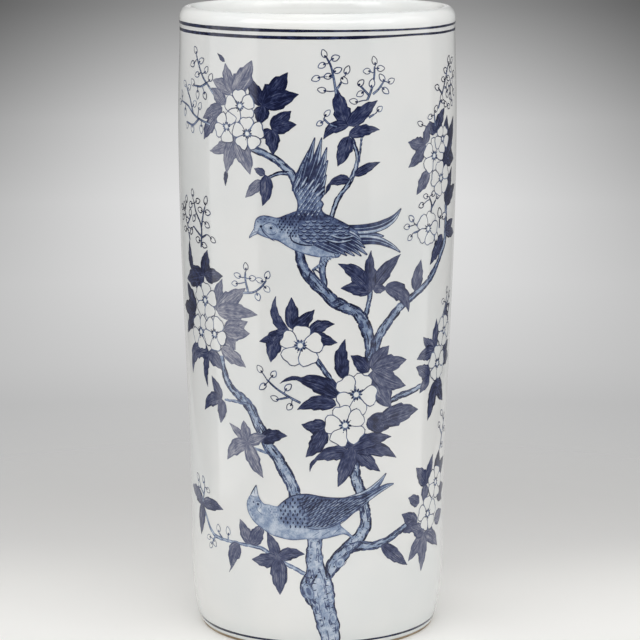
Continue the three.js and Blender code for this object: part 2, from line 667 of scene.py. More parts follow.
@dataclass(frozen=True)
class Cobalt(Glaze):
    """Cobalt under the glaze: a pale wash where it is thin, navy where it is thick."""

    touch: Touch = Touch.WASH
    mottling: float = 0.2
    edge: float = 0.0  # how much stronger the colour is along a stroke's edges

    TONES = ((0.0, (222, 226, 230)), (0.22, (181, 192, 208)), (0.42, (134, 151, 178)),
             (0.62, (84, 99, 134)), (0.82, (50, 58, 90)), (1.0, (26, 29, 53)))
    # The greyer pale stops for leaves are partly painted reflection: the grey sheen of the side cards
    # mirrored in the glaze over the leaves.
    LEAF_TONES_AND_SHEEN = ((0.0, (214, 214, 219)), (0.42, (138, 139, 153)), (0.62, (90, 96, 122)),
                  (0.82, (50, 58, 93)), (1.0, (24, 29, 57)))

    def material(self) -> Material:
        """Makes the material.

        Returns:
            The colour, whose strength comes from the brush's own direction and load.
        """
        nodes = Nodes.material("cobalt_" + self.touch.value)
        grain = nodes.add("Attribute", attribute_name="grain").outputs["Vector"]
        along, across, shade = nodes.add("SeparateXYZ", grain).outputs
        aside = nodes.math("ABSOLUTE", across)
        cloud = nodes.band(nodes.noise(210, 4), 0.3, 0.7, -1.0, 1.0)
        strength = nodes.math("MULTIPLY_ADD", cloud, self.mottling / 2, shade)
        strength = nodes.math("MULTIPLY_ADD", nodes.band(aside, 0.55, 1.0), self.edge, strength)
        tones = self.TONES
        if self.touch is Touch.LEAF:
            tones = self.LEAF_TONES_AND_SHEEN
            for part in self._veins(nodes, along, across, shade):
                strength = nodes.math("ADD", strength, part)
        if self.touch is Touch.WASH:
            grit = nodes.band(nodes.noise(1100, 2), 0.35, 0.65, -0.05, 0.05)
            strength = nodes.math("ADD", strength, grit)
        strength = nodes.math("ADD", strength, 0.0, clamp=True)
        return self.finish(nodes, nodes.ramp(strength, tones))

    @staticmethod
    def _veins(nodes: Nodes, *grain: Socket) -> list[Socket]:
        """What a leaf's markings add to the colour.

        Args:
            nodes: The material's nodes so far.
            *grain: The way along the leaf, the way across it and its load.

        Returns:
            A dark midrib, faint slanting side veins and pale pulls of the brush along the leaf.
        """
        along, across, _ = grain
        aside = nodes.math("ABSOLUTE", across)
        midrib = nodes.band(aside, 0.02, 0.14, 0.1, 0.0)
        slant = nodes.math("MULTIPLY_ADD", aside, -0.3, along)
        wave = nodes.math("SINE", nodes.math("MULTIPLY", slant, 40.0))
        place = [nodes.math("MULTIPLY", part, scale) for part, scale in zip(grain, (2.6, 8.5, 120.0))]
        pulls = nodes.add("TexNoise", nodes.add("CombineXYZ", *place).outputs[0], Scale=1.0, Detail=2.0)
        return [midrib, nodes.band(wave, 0.5, 1.0, 0.0, -0.07),
                nodes.band(pulls.outputs["Fac"], 0.42, 0.74, 0.02, -0.26)]


@dataclass(frozen=True)
class Biscuit:
    """Bare fired clay on the foot, warm, gritty and a little stained by the kiln shelf, and darkened partly
    as painted shade for the contact line under the foot.
    """

    # The dark tones are partly painted shade: they stand in for the shadow where the foot meets the floor.
    pale: Colour = (178, 163, 140)
    warm: Colour = (138, 117, 92)
    grit_depth: float = 0.0003

    def material(self) -> Material:
        """Makes the material.

        Returns:
            The bare clay.
        """
        nodes = Nodes.material("bare_biscuit")
        colour = nodes.ramp(nodes.band(nodes.noise(45, 4), 0.3, 0.7), ((0, self.pale), (1, self.warm)))
        grit = nodes.noise(1400, 3)
        bump = nodes.add("Bump", Height=grit, Strength=0.5, Distance=self.grit_depth)
        rough = nodes.band(grit, 0.3, 0.7, 0.72, 0.92)
        return nodes.surface(nodes.add("BsdfPrincipled", Base_Color=colour, Roughness=rough,
                                       Normal=bump.outputs[0]))


# ------------ the pot itself


@dataclass
class Pot:
    """The glazed barrel and its bare foot, each turned from a half-section."""

    form: BarrelForm
    segments: int = 240
    step: float = 2.5  # spacing of the inner wall's points
    ring_depth: float = 0.1  # throwing rings left inside
    ring_pitches: tuple[float, float] = (13.0, 7.7)
    seam_height: float = 0.5  # ridge inside where the two sections are luted
    seam_width: float = 2.2
    dish_depth: float = 0.12  # slow rings on the floor
    lining_edge: float = 445.7  # from here up, and all down the inside, the glaze is whiter: partly a whiter glaze, partly painted light on the up-facing lip and the dimmer inside

    def inner_wall(self) -> np.ndarray:
        """The inside, from the lip's crest down to the middle of the floor.

        Returns:
            Radius and height of its points, in millimetres.
        """
        form = self.form
        inner_lip = form.lip_outer - form.lip_thickness
        nose = quarter((form.lip_crest + form.inset, form.lip_middle),
                       (form.lip_crest - inner_lip, form.height - form.lip_middle), 90, 180, 20)
        start = form.lip_middle - form.throat_height
        throat_foot = form.radius(start) - form.wall
        throat = bezier((inner_lip, form.lip_middle), (inner_lip, form.lip_middle - form.throat_height * 0.3),
                        (throat_foot - 0.6, start + form.throat_height * 0.45), (throat_foot, start), 14)
        heights = np.arange(start - self.step, form.waist_height, -self.step)
        slow, quick = self.ring_pitches
        rings = np.sin(heights / slow * 2 * math.pi) + 0.5 * np.sin(heights / quick + 1.0)
        seam = self.seam_height * np.exp(-(((heights - form.seam) / self.seam_width) ** 2))
        wall = np.column_stack([form.radius(heights) - form.wall + self.ring_depth * rings - seam, heights])
        middle = (form.cove_edge, form.floor_top + form.cove)
        waist = form.radius(form.waist_height) - form.wall
        lower = bezier((waist, form.waist_height), (waist, 44), (middle[0] + form.cove + 1.2, 34),
                       (middle[0] + form.cove, middle[1]), 12)
        cove = quarter(middle, (form.cove, form.cove), 0, -90, 12)
        reach = np.linspace(form.cove_edge, 0, 22)[1:]
        dish = form.floor_top + self.dish_depth * np.cos(reach / 9.0) * (reach / form.cove_edge) ** 0.5
        return np.vstack([nose[1:], throat[1:], wall, lower, cove[1:], np.column_stack([reach, dish])])

    def outer_wall(self) -> np.ndarray:
        """The outside, from the glaze's edge at the foot up to the lip's crest.

        Returns:
            Radius and height of its points, in millimetres.
        """
        form = self.form
        top = form.outer[form.outer[:, 1] > form.glaze_edge + 0.9]
        seam = (form.radius(self.lining_edge), self.lining_edge)
        top = np.insert(top, int(np.argmax(top[:, 1] > self.lining_edge)), seam, axis=0)
        top = top - np.array([form.inset, 0])
        top[:, 1] = np.minimum(top[:, 1], form.height - 0.05)
        bead = np.array([(-0.9, 0.5), (-0.55, 0.12), (-0.2, 0), (0.05, 0.2)])
        return np.vstack([bead + (form.radius(form.glaze_edge) - form.inset, form.glaze_edge), top])

    def body(self, *finishes: Material) -> Piece:
        """Turns the glazed body: outside, lip, inside, floor and the recess underneath.

        Args:
            *finishes: The glazed ground outside, and the whiter lining, which is partly painted light on the
                       lip and the inside.

        Returns:
            The body.
        """
        below = [(reach, self.form.underside) for reach in (0, 30, 60, 73.2, 80, 84.6)]
        section = np.vstack([below, self.outer_wall(), self.inner_wall()])
        section[-1] = (0, section[-2][1])
        body = self.turn("glazed_body", section, *finishes)
        n, faces = self.segments, len(body.data.polygons)
        first = (int(np.argmax(section[:, 1] >= self.lining_edge)) - 1) * n
        lined = [first <= face < faces - 2 * n or face >= faces - n for face in range(faces)]
        body.data.polygons.foreach_set("material_index", lined)
        return body

    def foot(self, clay: Material) -> Piece:
        """Turns the bare foot ring, with eased edges and a hollow inside it.

        Args:
            clay: Its finish.

        Returns:
            The foot.
        """
        outer = self.form.foot - self.form.inset
        edge = ((-0.9, 0), (-0.35, 0.15), (-0.05, 0.5), (0.1, 1.1), (0.15, 1.9), (-0.1, 2.8),
                (-0.6, 3.6), (-2, 3.9))
        section = [*quarter((73.5, 0.9), (3, 3), 90, 0, 7), (76.6, 0.6), (77.0, 0.2), (77.6, 0), (81, 0),
                   (84, 0), *((outer + out, up) for out, up in edge), (78, 3.95)]
        return self.turn("foot_rim", np.array(section), clay)

    def turn(self, name: str, section: np.ndarray, *finishes: Material) -> Piece:
        """Turns a half-section about the upright axis.

        Args:
            name: The piece's name.
            section: Radius and height of its points, in millimetres. It starts and ends on
                the axis, or else it is closed.
            *finishes: The piece's materials.

        Returns:
            The new piece.
        """
        n, solid = self.segments, section[0][0] == 0
        angle = np.linspace(0, 2 * math.pi, n, endpoint=False)
        around = np.column_stack([np.sin(angle), -np.cos(angle)])
        rings = section[1:-1] if solid else section
        points = np.vstack([np.column_stack([around * reach, np.full(n, up)]) for reach, up in rings])
        after, end = [*range(1, n), 0], len(points) - n
        starts = list(range(0, len(points), n))
        faces: list[tuple[int, ...]] = []
        for a, b in zip(starts, starts[1:] + ([] if solid else starts[:1])):
            faces += [(a + k, a + after[k], b + after[k], b + k) for k in range(n)]
        if solid:
            first, last = len(points), len(points) + 1
            points = np.vstack([points, (0, 0, section[0][1]), (0, 0, section[-1][1])])
            faces += [(first, after[k], k) for k in range(n)]
            faces += [(last, end + k, end + after[k]) for k in range(n)]
        return new_piece(name, points * MM, faces, *finishes)

    def make(self, ground: Material, lining: Material, clay: Material) -> None:
        """Builds and dresses the two pieces."""
        place_piece(self.body(ground, lining), "glazed_porcelain", "lower_wall", "upper_wall", "lip", "floor")
        place_piece(self.foot(clay), "bare_biscuit", "foot_ring")


# ------------ the painter's strokes


PALE, THIN, HALF, FULL = 0.58, 0.68, 0.78, 0.99  # how loaded the brush is; the paler loads also carry painted reflection of the side cards on leaves near the pot's sides


class Lift:
    """How far each kind of paint stands off the glaze, in millimetres."""

    LIMB = 0.03
    BARK = 0.05
    LEAF = 0.07
    PETAL = 0.12
    BIRD = 0.10
    BAND = 0.05


class Brushes:
    """The layers of one side of the pot, and the painter's hand."""

    LAYERS = ("limbs", "bark", "leaves", "petals", "lines", "birds", "plumes")

    def __init__(self, side: str, seed: int) -> None:
        """Lays out an empty sheet for each layer.

        Args:
            side: The side of the pot.
            seed: Where the hand's own slips start.
        """
        self.hand = random.Random(seed)
        sheets = [Sheet(f"{side}_{layer}") for layer in self.LAYERS]
        self.limbs, self.bark, self.leaves, self.petals, self.lines, self.birds, self.plumes = sheets

    def off(self, amount: float) -> float:
        """A small slip of the hand, up to the amount either way."""
        return self.hand.uniform(-amount, amount)


@dataclass
class LeafSpray:
    """Leaves that spring from one place: each a tip, a width and how far it bows to its left."""

    base: Spot
    leaves: tuple[tuple[float, ...], ...]
    shade: float = 0.92

    STEP = 1.7  # spacing of the points along a leaf
    FULLNESS = 0.57  # half its width, as a share of the width that is asked for

    def paint(self, brushes: Brushes) -> None:
        """Paints the leaves, the later ones over the earlier."""
        for order, (u, z, width, *bow) in enumerate(self.leaves):
            self.leaf(brushes, (u, z), width, bow[0] if bow else brushes.off(0.05), order)

    def leaf(self, brushes: Brushes, tip: Spot, width: float, bow: float, order: int) -> None:
        """One pointed leaf, fullest below its middle, with slightly wavy edges.

        Args:
            brushes: The layers to paint on.
            tip: Where it ends.
            width: Its full width.
            bow: How far its middle stands to the left, as a share of its length.
            order: Its place among the leaves that it overlaps.
        """
        a, b = np.array(self.base, float), np.array(tip, float)
        chord = b - a
        left = np.array([-chord[1], chord[0]])
        t = np.linspace(0, 1, max(8, int(math.hypot(*chord) / self.STEP)))[:, None]
        handle = (a + b) / 2 + left * 2 * bow
        line = a * (1 - t) ** 2 + 2 * handle * t * (1 - t) + b * t**2
        t = t[:, 0]
        full = t**0.6 * (1 - t) ** 1.02
        half = full / full.max() * width * self.FULLNESS
        hand = brushes.hand
        edges = []
        for _ in range(2):
            teeth = np.mod(t * hand.uniform(2.4, 4.2) + hand.random(), 1.0)
            jag = hand.uniform(0.16, 0.42) * (teeth - 0.5) * np.clip((t - 0.25) * 5, 0, 1)
            edges.append(np.maximum(half * (1 + jag), 0.2))
        brushes.leaves.strip(line, *edges, Lift.LEAF + 0.006 * order, self.shade + brushes.off(0.04), 6)


@dataclass
class Blossom:
    """A five-petalled white blossom, outlined, with a star of stamens."""

    centre: Spot
    radius: float
    turn: float = 90.0
    raised: float = 0.0

    PETALS = 5
    OVERLAP = 0.016  # how much higher each petal lies than the last
    STAMENS = 10

    PETAL = ((0.1, 0.0), (0.28, -0.21), (0.47, -0.37), (0.7, -0.46), (0.9, -0.4), (0.985, -0.2),
             (0.965, 0.03), (1.0, 0.24), (0.9, 0.42), (0.7, 0.46), (0.47, 0.38), (0.28, 0.21))

    def paint(self, brushes: Brushes) -> None:
        """Paints five petals one over another, then the stamens.

        Args:
            brushes: The layers to paint on.
        """
        lift = Lift.PETAL + self.raised
        for petal in range(self.PETALS):
            angle = math.radians(self.turn + 360 / self.PETALS * petal) + brushes.off(0.06)
            reach = self.radius * (1 + brushes.off(0.06))
            self.petal(brushes, angle, reach, lift + self.OVERLAP * petal)
        self.stamens(brushes, lift + 0.09)

    def petal(self, brushes: Brushes, angle: float, reach: float, lift: float) -> None:
        """One petal: a white fill, and an outline in three pulls with a dot where they meet.

        Args:
            brushes: The layers to paint on.
            angle: Which way it points, in radians.
            reach: Its length.
            lift: Height off the glaze.
        """
        slip = [(out + brushes.off(0.03), wide + brushes.off(0.03)) for out, wide in self.PETAL]
        outline = turned(np.array(slip) * reach, angle, self.centre)
        edge = smooth(outline, 1.2, closed=True)
        brushes.petals.disc(edge, edge.mean(0), lift, 0.0, 4)
        hand, round_again = brushes.hand, np.vstack([outline, outline[:1]])
        for start in range(0, len(outline), 4):
            brushes.lines.stroke(round_again[start:start + 5], hand.uniform(0.56, 0.8), lift + 0.008,
                                 hand.uniform(0.62, 0.82), 0.7, 1.2)
            if start and hand.random() < 0.5:
                brushes.lines.dot(outline[start], 0.95, 0.95, 0, lift + 0.012, 0.82)

    def stamens(self, brushes: Brushes, lift: float) -> None:
        """A ring of dark touches round a white eye, with a few loose dots outside it.

        Args:
            brushes: The layers to paint on.
            lift: Height off the glaze.
        """
        size = self.radius
        brushes.lines.dot(self.centre, size * 0.46, size * 0.46, 0, lift - 0.008, 0.42)
        brushes.petals.dot(self.centre, size * 0.25, size * 0.25, 0, lift - 0.004, 0.0)
        for k in range(self.STAMENS):
            angle = 2 * math.pi * (k + brushes.off(0.15)) / self.STAMENS
            near = turned([(size * 0.22 + brushes.off(0.15), 0)], angle, self.centre)[0]
            brushes.lines.dot(near, 0.17 * size, 0.1 * size, angle, lift, 0.84)
            if k % 3 == 1:
                far = turned([(size * 0.34 + brushes.off(0.3), 0)], angle, self.centre)[0]
                brushes.lines.dot(far, 0.9, 0.8, angle, lift, 0.76)


@dataclass
class BudSpray:
    """Thin stems with buds: each bud hangs by its own stalk from the nearest stem."""

    stems: tuple[tuple[Spot, ...], ...]
    buds: tuple[Spot, ...]
    size: float = 5.0
    ink: float = 0.0  # how much stronger or weaker its lines are than most

    BUD = ((-0.5, 0), (-0.36, -0.36), (0.0, -0.5), (0.3, -0.34), (0.56, 0.03), (0.3, 0.36),
           (0.0, 0.5), (-0.36, 0.36))

    def paint(self, brushes: Brushes) -> None:
        """Paints the stems, then a stalk and a bud at each place.

        Args:
            brushes: The layers to paint on.
        """
        lines, hand, lift, ink = brushes.lines, brushes.hand, Lift.PETAL, self.ink
        for stem in self.stems:
            lines.stroke(stem, 1.5, lift, 0.44 + ink, 0.7)
            middle = smooth(stem, 1.8)
            for sign in (-1, 1):
                edge = middle + sideways(middle) * sign * np.linspace(0.62, 0.3, len(middle))[:, None]
                lines.stroke(edge, hand.uniform(0.45, 0.7), lift + 0.006, hand.uniform(0.7, 0.86) + ink, 0.7)
            for knuckle in stem[1:-1]:
                lines.dot(knuckle, 1.5, 1.2, brushes.off(1), lift + 0.01, 0.84 + ink)
        joints = np.vstack([smooth(stem, 2.0) for stem in self.stems])
        for number, bud in enumerate(self.buds):
            self.bud(brushes, bud, joints, lift + 0.012 + 0.004 * (number % 3))

    def bud(self, brushes: Brushes, spot: Spot, joints: np.ndarray, lift: float) -> None:
        """One pointed bud with a dark cup, on a stalk from the nearest joint.

        Args:
            brushes: The layers to paint on.
            spot: Its middle.
            joints: Places on the stems from which a stalk can spring.
            lift: Height off the glaze.
        """
        lines, hand, ink = brushes.lines, brushes.hand, self.ink
        middle = np.array(spot, float)
        gap = np.hypot(*(joints - middle).T) + np.abs(joints[:, 1] - middle[1]) * 0.1
        joint = joints[int(np.argmin(gap))]
        length = math.hypot(*(middle - joint))
        way = (middle - joint) / length if length >= 1 else np.array([0.0, 1.0])
        angle = math.atan2(way[1], way[0]) + brushes.off(0.3)
        long, wide = self.size * (1.12 + brushes.off(0.12)), self.size * (0.82 + brushes.off(0.07))
        outline = turned(np.array(self.BUD) * (long, wide), angle, middle)
        foot, cup = turned([(-long * 0.5, 0), (0.9 - long * 0.5, 0)], angle, middle)
        if length > self.size * 0.6:
            bow = turned([(0, brushes.off(0.8))], angle, (joint + foot) / 2)[0]
            lines.stroke([joint, bow, foot], 0.75, lift - 0.006, 0.78 + ink, 0.8)
        brushes.petals.disc(smooth(outline, 1.0, closed=True), spot, lift, 0.0, 2)
        lines.stroke([*outline, outline[0]], hand.uniform(0.55, 0.78) + ink, lift + 0.006,
                     hand.uniform(0.66, 0.84) + ink, 1.0, 0.8)
        lines.dot(cup, 2.0, 1.5, angle, lift + 0.008, 0.86 + ink)


@dataclass
class Limb:
    """A length of branch: a wash between broken dark edges, with bark drawn along it."""

    path: tuple[Spot, ...]
    widths: tuple[float, ...]
    shade: float = 0.4
    order: int = 0
    ink: float = 0.9
    line: np.ndarray = field(init=False)
    side: np.ndarray = field(init=False)  # unit vectors to the left of the line
    thick: float = field(init=False)

    STREAKED, SCALED, STOUT = 2.9, 6.5, 12.0  # widths from which a limb has these marks, or is stout

    def __post_init__(self) -> None:
        """Smooths the path once."""
        self.line = smooth(self.path, 1.6)
        self.side = sideways(self.line)
        self.thick = max(self.widths)

    def paint(self, brushes: Brushes) -> None:
        """Paints the wash, the two edges and the marks of the bark.

        Args:
            brushes: The layers to paint on.
        """
        half = half_widths(self.path, self.widths, len(self.line))
        reach = np.linspace(0, 1, len(half)) * distances(np.array(self.path, float))[-1]
        rough = min(0.9, 0.1 + 0.05 * self.thick)
        sides = []
        for pitch in (3.1, 4.3):
            swell = 1 + 0.06 * np.sin(reach / pitch + brushes.hand.uniform(0, 6))
            ragged = np.array([brushes.off(0.5) * rough for _ in half])
            sides.append(np.maximum(half * swell + ragged * np.clip(half / 3, 0.2, 1), 0.3))
        brushes.limbs.strip(self.line, *sides, Lift.LIMB + 0.004 * self.order, self.shade, 4)
        for width, sign, heavy in zip(sides, (1, -1), (0.1, 0.35)):
            self.edge(brushes, self.line + self.side * ((width - 0.15) * sign)[:, None], heavy)
        if self.thick > self.STREAKED:
            self.streaks(brushes, *sides)
        if self.thick > self.SCALED:
            self.scales(brushes, *sides)

    def edge(self, brushes: Brushes, line: np.ndarray, heavy: float) -> None:
        """Draws one edge as a row of overlapping pulls of the brush.

        Args:
            brushes: The layers to paint on.
            line: The edge.
            heavy: How much wider a thick limb's pulls are on this side.
        """
        hand, at = brushes.hand, 0
        while at < len(line) - 2:
            pull = hand.randint(4, 10)
            part = line[at:at + pull]
            if len(part) > 2:
                weight = hand.uniform(0.5, 0.95) + 0.07 * min(self.thick, 9.0)
                weight += heavy * min(1.0, self.thick / 8)
                weight *= 0.72 if self.thick >= self.STOUT else 1.0
                points = [q + np.array([brushes.off(0.3), brushes.off(0.3)]) for q in part[::2]]
                brushes.bark.stroke(points, weight, Lift.BARK + hand.choice((0, 0.006)),
                                    self.ink + brushes.off(0.1))
            at += pull - 2

    def streaks(self, brushes: Brushes, left: np.ndarray, right: np.ndarray) -> None:
        """Long broken streaks that run with the limb, thicker towards its edges.

        Args:
            brushes: The layers to paint on.
            left, right: The limb's widths to either side of its line.
        """
        hand, rows = brushes.hand, len(self.line)
        share, load = (0.22, 1.0) if left.mean() < 5 else (0.13, 0.76)
        for _ in range(int(rows * (left + right).mean() * share) + 1):
            start = hand.randrange(max(1, rows - 4))
            end = min(start + hand.randint(2, 5) + 1, rows)
            where = hand.choice((-1, 1)) * hand.uniform(0.02, 0.9) ** 0.6
            half = left if where > 0 else right
            points = [self.line[k] + self.side[k] * (half[k] * where + brushes.off(0.3))
                      for k in range(start, end)]
            brushes.bark.stroke(points, hand.uniform(0.45, 1.15), Lift.BARK + 0.012,
                                hand.uniform(0.6, 0.96) * load, 0.2)

    def scales(self, brushes: Brushes, left: np.ndarray, right: np.ndarray) -> None:
        """Short hooked strokes across the bark, from its edges inwards.

        Args:
            brushes: The layers to paint on.
            left, right: The limb's widths to either side of its line.
        """
        hand, line = brushes.hand, self.line
        for k in range(2, len(line) - 2):
            if hand.random() > 0.85:
                continue
            sign = hand.choice((-1, 1))
            out = self.side[k] * sign * (left[k] if sign > 0 else right[k])
            way = line[k + 1] - line[k - 1]
            way /= max(math.hypot(*way), 1e-6)
            inner = hand.uniform(0.1, 0.72)
            points = [line[k] + out * where + way * bow * hand.choice((-1, 1))
                      for where, bow in ((inner + 0.28, 0.0), (inner + 0.12, 0.5), (inner - 0.05, 0.2))]
            brushes.bark.stroke(points, hand.uniform(0.5, 1.2), Lift.BARK + 0.018,
                                hand.uniform(0.66, 0.96), 0.3)


@dataclass
class Knot:
    """An old knot in the bark: a pale rim round a dark hollow, ringed with short strokes."""

    centre: Spot
    width: float
    height: float
    turn: float = 0.0

    def ring(self, scale: float) -> np.ndarray:
        """Points round the knot, at a share of its size."""
        return turned(oval(self.width * scale, self.height * scale), math.radians(self.turn), self.centre)

    def paint(self, brushes: Brushes) -> None:
        """Paints the rim, the hollow and the strokes.

        Args:
            brushes: The layers to paint on.
        """
        bark, lift, rim = brushes.bark, Lift.BARK, self.ring(1.0)
        bark.disc(smooth(rim, 1.2, closed=True), self.centre, lift + 0.022, 0.34, 2)
        bark.stroke([*rim, rim[0], rim[1]], 0.6, lift + 0.03, 0.62, 0.5)
        bark.disc(smooth(self.ring(0.5), 1.0, closed=True), self.centre, lift + 0.03, 0.54, 1)
        for stroke in zip(self.ring(1.2)[::2], self.ring(1.5)[1::2]):
            bark.stroke(stroke, 0.5, lift + 0.026, 0.7, 0.4)


@dataclass
class Feather:
    """One long feather: a dark web with a pale shaft and a pale rim along one edge."""

    path: tuple[Spot, ...]
    widths: tuple[float, ...]
    web: float = 0.74
    pale: float = 0.3
    rim: int = -1  # the side with the pale rim: 1 for the left, -1 for the right

    HAIR = 0.24  # half the width of its thin lines
    SHAFTED = 1.8  # half the width from which a feather shows its shaft

    def paint(self, brushes: Brushes, lift: float) -> None:
        """Paints the pale vane, the web, the shaft and the outline.

        Args:
            brushes: The layers to paint on.
            lift: Height off the glaze.
        """
        line = smooth(self.path, 1.8)
        half = half_widths(self.path, self.widths, len(line))
        side = sideways(line)
        brushes.birds.strip(line, half, half, lift, self.pale)
        web = np.maximum(half * 0.68, 0.1)
        from_rim = side * (half * -self.rim)[:, None]
        brushes.plumes.strip(line + from_rim * 0.26, web, web, lift + 0.008, self.web)
        if half.max() > self.SHAFTED:
            shaft = (line + from_rim * 0.2)[:-1]
            brushes.birds.strip(shaft, self.HAIR, self.HAIR, lift + 0.014, self.pale + 0.14, 1)
        for sign in (1, -1):
            edge = line + side * (half * sign)[:, None]
            brushes.plumes.strip(edge, self.HAIR, self.HAIR, lift + 0.016, 0.84, 1)


# ------------ the two birds


Pull = tuple[float, float, float]  # a stroke's width, its load and the width left at its ends


class Bird:
    """What the two birds share: freckles, scales and outlines."""

    def __init__(self, brushes: Brushes) -> None:
        """Takes up the brushes.

        Args:
            brushes: The layers to paint on.
        """
        self.brushes = brushes
        self.pale, self.dark = brushes.birds, brushes.plumes

    def lines(self, lift: float, *rows: tuple[float | Spot, ...]) -> None:
        """Dark lines, each given by its width, its load, the width left at its ends and its points."""
        for width, shade, taper, *points in rows:
            self.dark.stroke(points, width, lift, shade, taper)

    def outline(self, points: Sequence[Spot], lift: float, width: float, shade: float) -> None:
        """A thin line round part of the bird."""
        self.lines(lift, (width, shade, 0.5, *points))

    def doubled(self, points: Sequence[Spot], pale: Pull, dark: Pull, aside: Spot, lift: float,
                gap: float = 0.004) -> None:
        """A pale stroke with a dark one beside it.

        Args:
            points: The pale stroke's path.
            pale: How it is drawn.
            dark: How the dark stroke is drawn.
            aside: How far off it lies.
            lift: Height off the glaze.
            gap: How much higher the dark stroke lies.
        """
        self.pale.stroke(points, pale[0], lift, *pale[1:])
        self.lines(lift + gap, (*dark, *(np.array(points) + aside)))

    def scattered(self, region: Sequence[Spot], pitch: float, row: float) -> list[Spot]:
        """Places in staggered rows inside an outline.

        Args:
            region: A few points round the outline.
            pitch: Spacing along a row.
            row: Spacing from row to row.

        Returns:
            The places, each a little off its mark.
        """
        edge = smooth(region, 2.0, closed=True)
        lo, hi = edge.min(0), edge.max(0)
        spots = []
        for number, z in enumerate(np.arange(lo[1], hi[1], row)):
            for u in np.arange(lo[0] + number % 2 * pitch / 2, hi[0], pitch):
                spots.append((u + self.brushes.off(0.3), z + self.brushes.off(0.25)))
        deep = distance_inside(np.array(spots), edge)
        return [spot for spot, depth in zip(spots, deep) if depth > 0.4]

    def freckles(self, region: Sequence[Spot], pitch: float, size: float, lift: float,
                 shade: float = 0.88, lean: float = 1.2) -> None:
        """Rows of small dark touches.

        Args:
            region: A few points round the outline that they fill.
            pitch: Their spacing.
            size: Their length.
            lift: Height off the glaze.
            shade: Strength of the colour.
            lean: Their angle, in radians.
        """
        for spot in self.scattered(region, pitch, pitch * 0.8):
            self.dark.dot(spot, size * self.brushes.hand.uniform(0.8, 1.2), size * 0.6,
                          lean + self.brushes.off(0.4), lift, shade)

    def scales(self, region: Sequence[Spot], pitch: float, row: float, sag: float, lift: float) -> None:
        """Rows of pale arcs, each over a dark one, like overlapping scales.

        Args:
            region: A few points round the outline that they fill.
            pitch: Spacing along a row.
            row: Spacing from row to row.
            sag: How far each arc's ends stand up.
            lift: Height off the glaze.
        """
        for u, z in self.scattered(region, pitch, row):
            reach = pitch * self.brushes.hand.uniform(0.36, 0.5)
            arc = ((u - reach, z + sag), (u, z - sag * 0.6), (u + reach, z + sag))
            pale = (0.65, 0.4 + self.brushes.off(0.08), 0.2)
            self.doubled(arc, pale, (1.0, 0.88, 0.3), (0, -0.95), lift, 0.006)

    def slashes(self, region: Sequence[Spot], pitch: float, row: float, way: Spot, lift: float) -> None:
        """Pale slanting touches, with a dark one beside each.

        Args:
            region: A few points round the outline that they fill.
            pitch: Spacing along a row.
            row: Spacing from row to row.
            way: Where each ends, from its start.
            lift: Height off the glaze.
        """
        for u, z in self.scattered(region, pitch, row):
            touch = ((u, z), (u + way[0], z + way[1]))
            self.doubled(touch, (0.75, 0.28, 0.4), (0.6, 0.88, 0.4), (0.9, 0), lift, 0.006)

    def feathers(self, feathers: Iterable[Feather], lift: float, step: float = 0.006) -> None:
        """Long feathers, each a step higher than the last."""
        for order, feather in enumerate(feathers):
            feather.paint(self.brushes, lift + step * order)


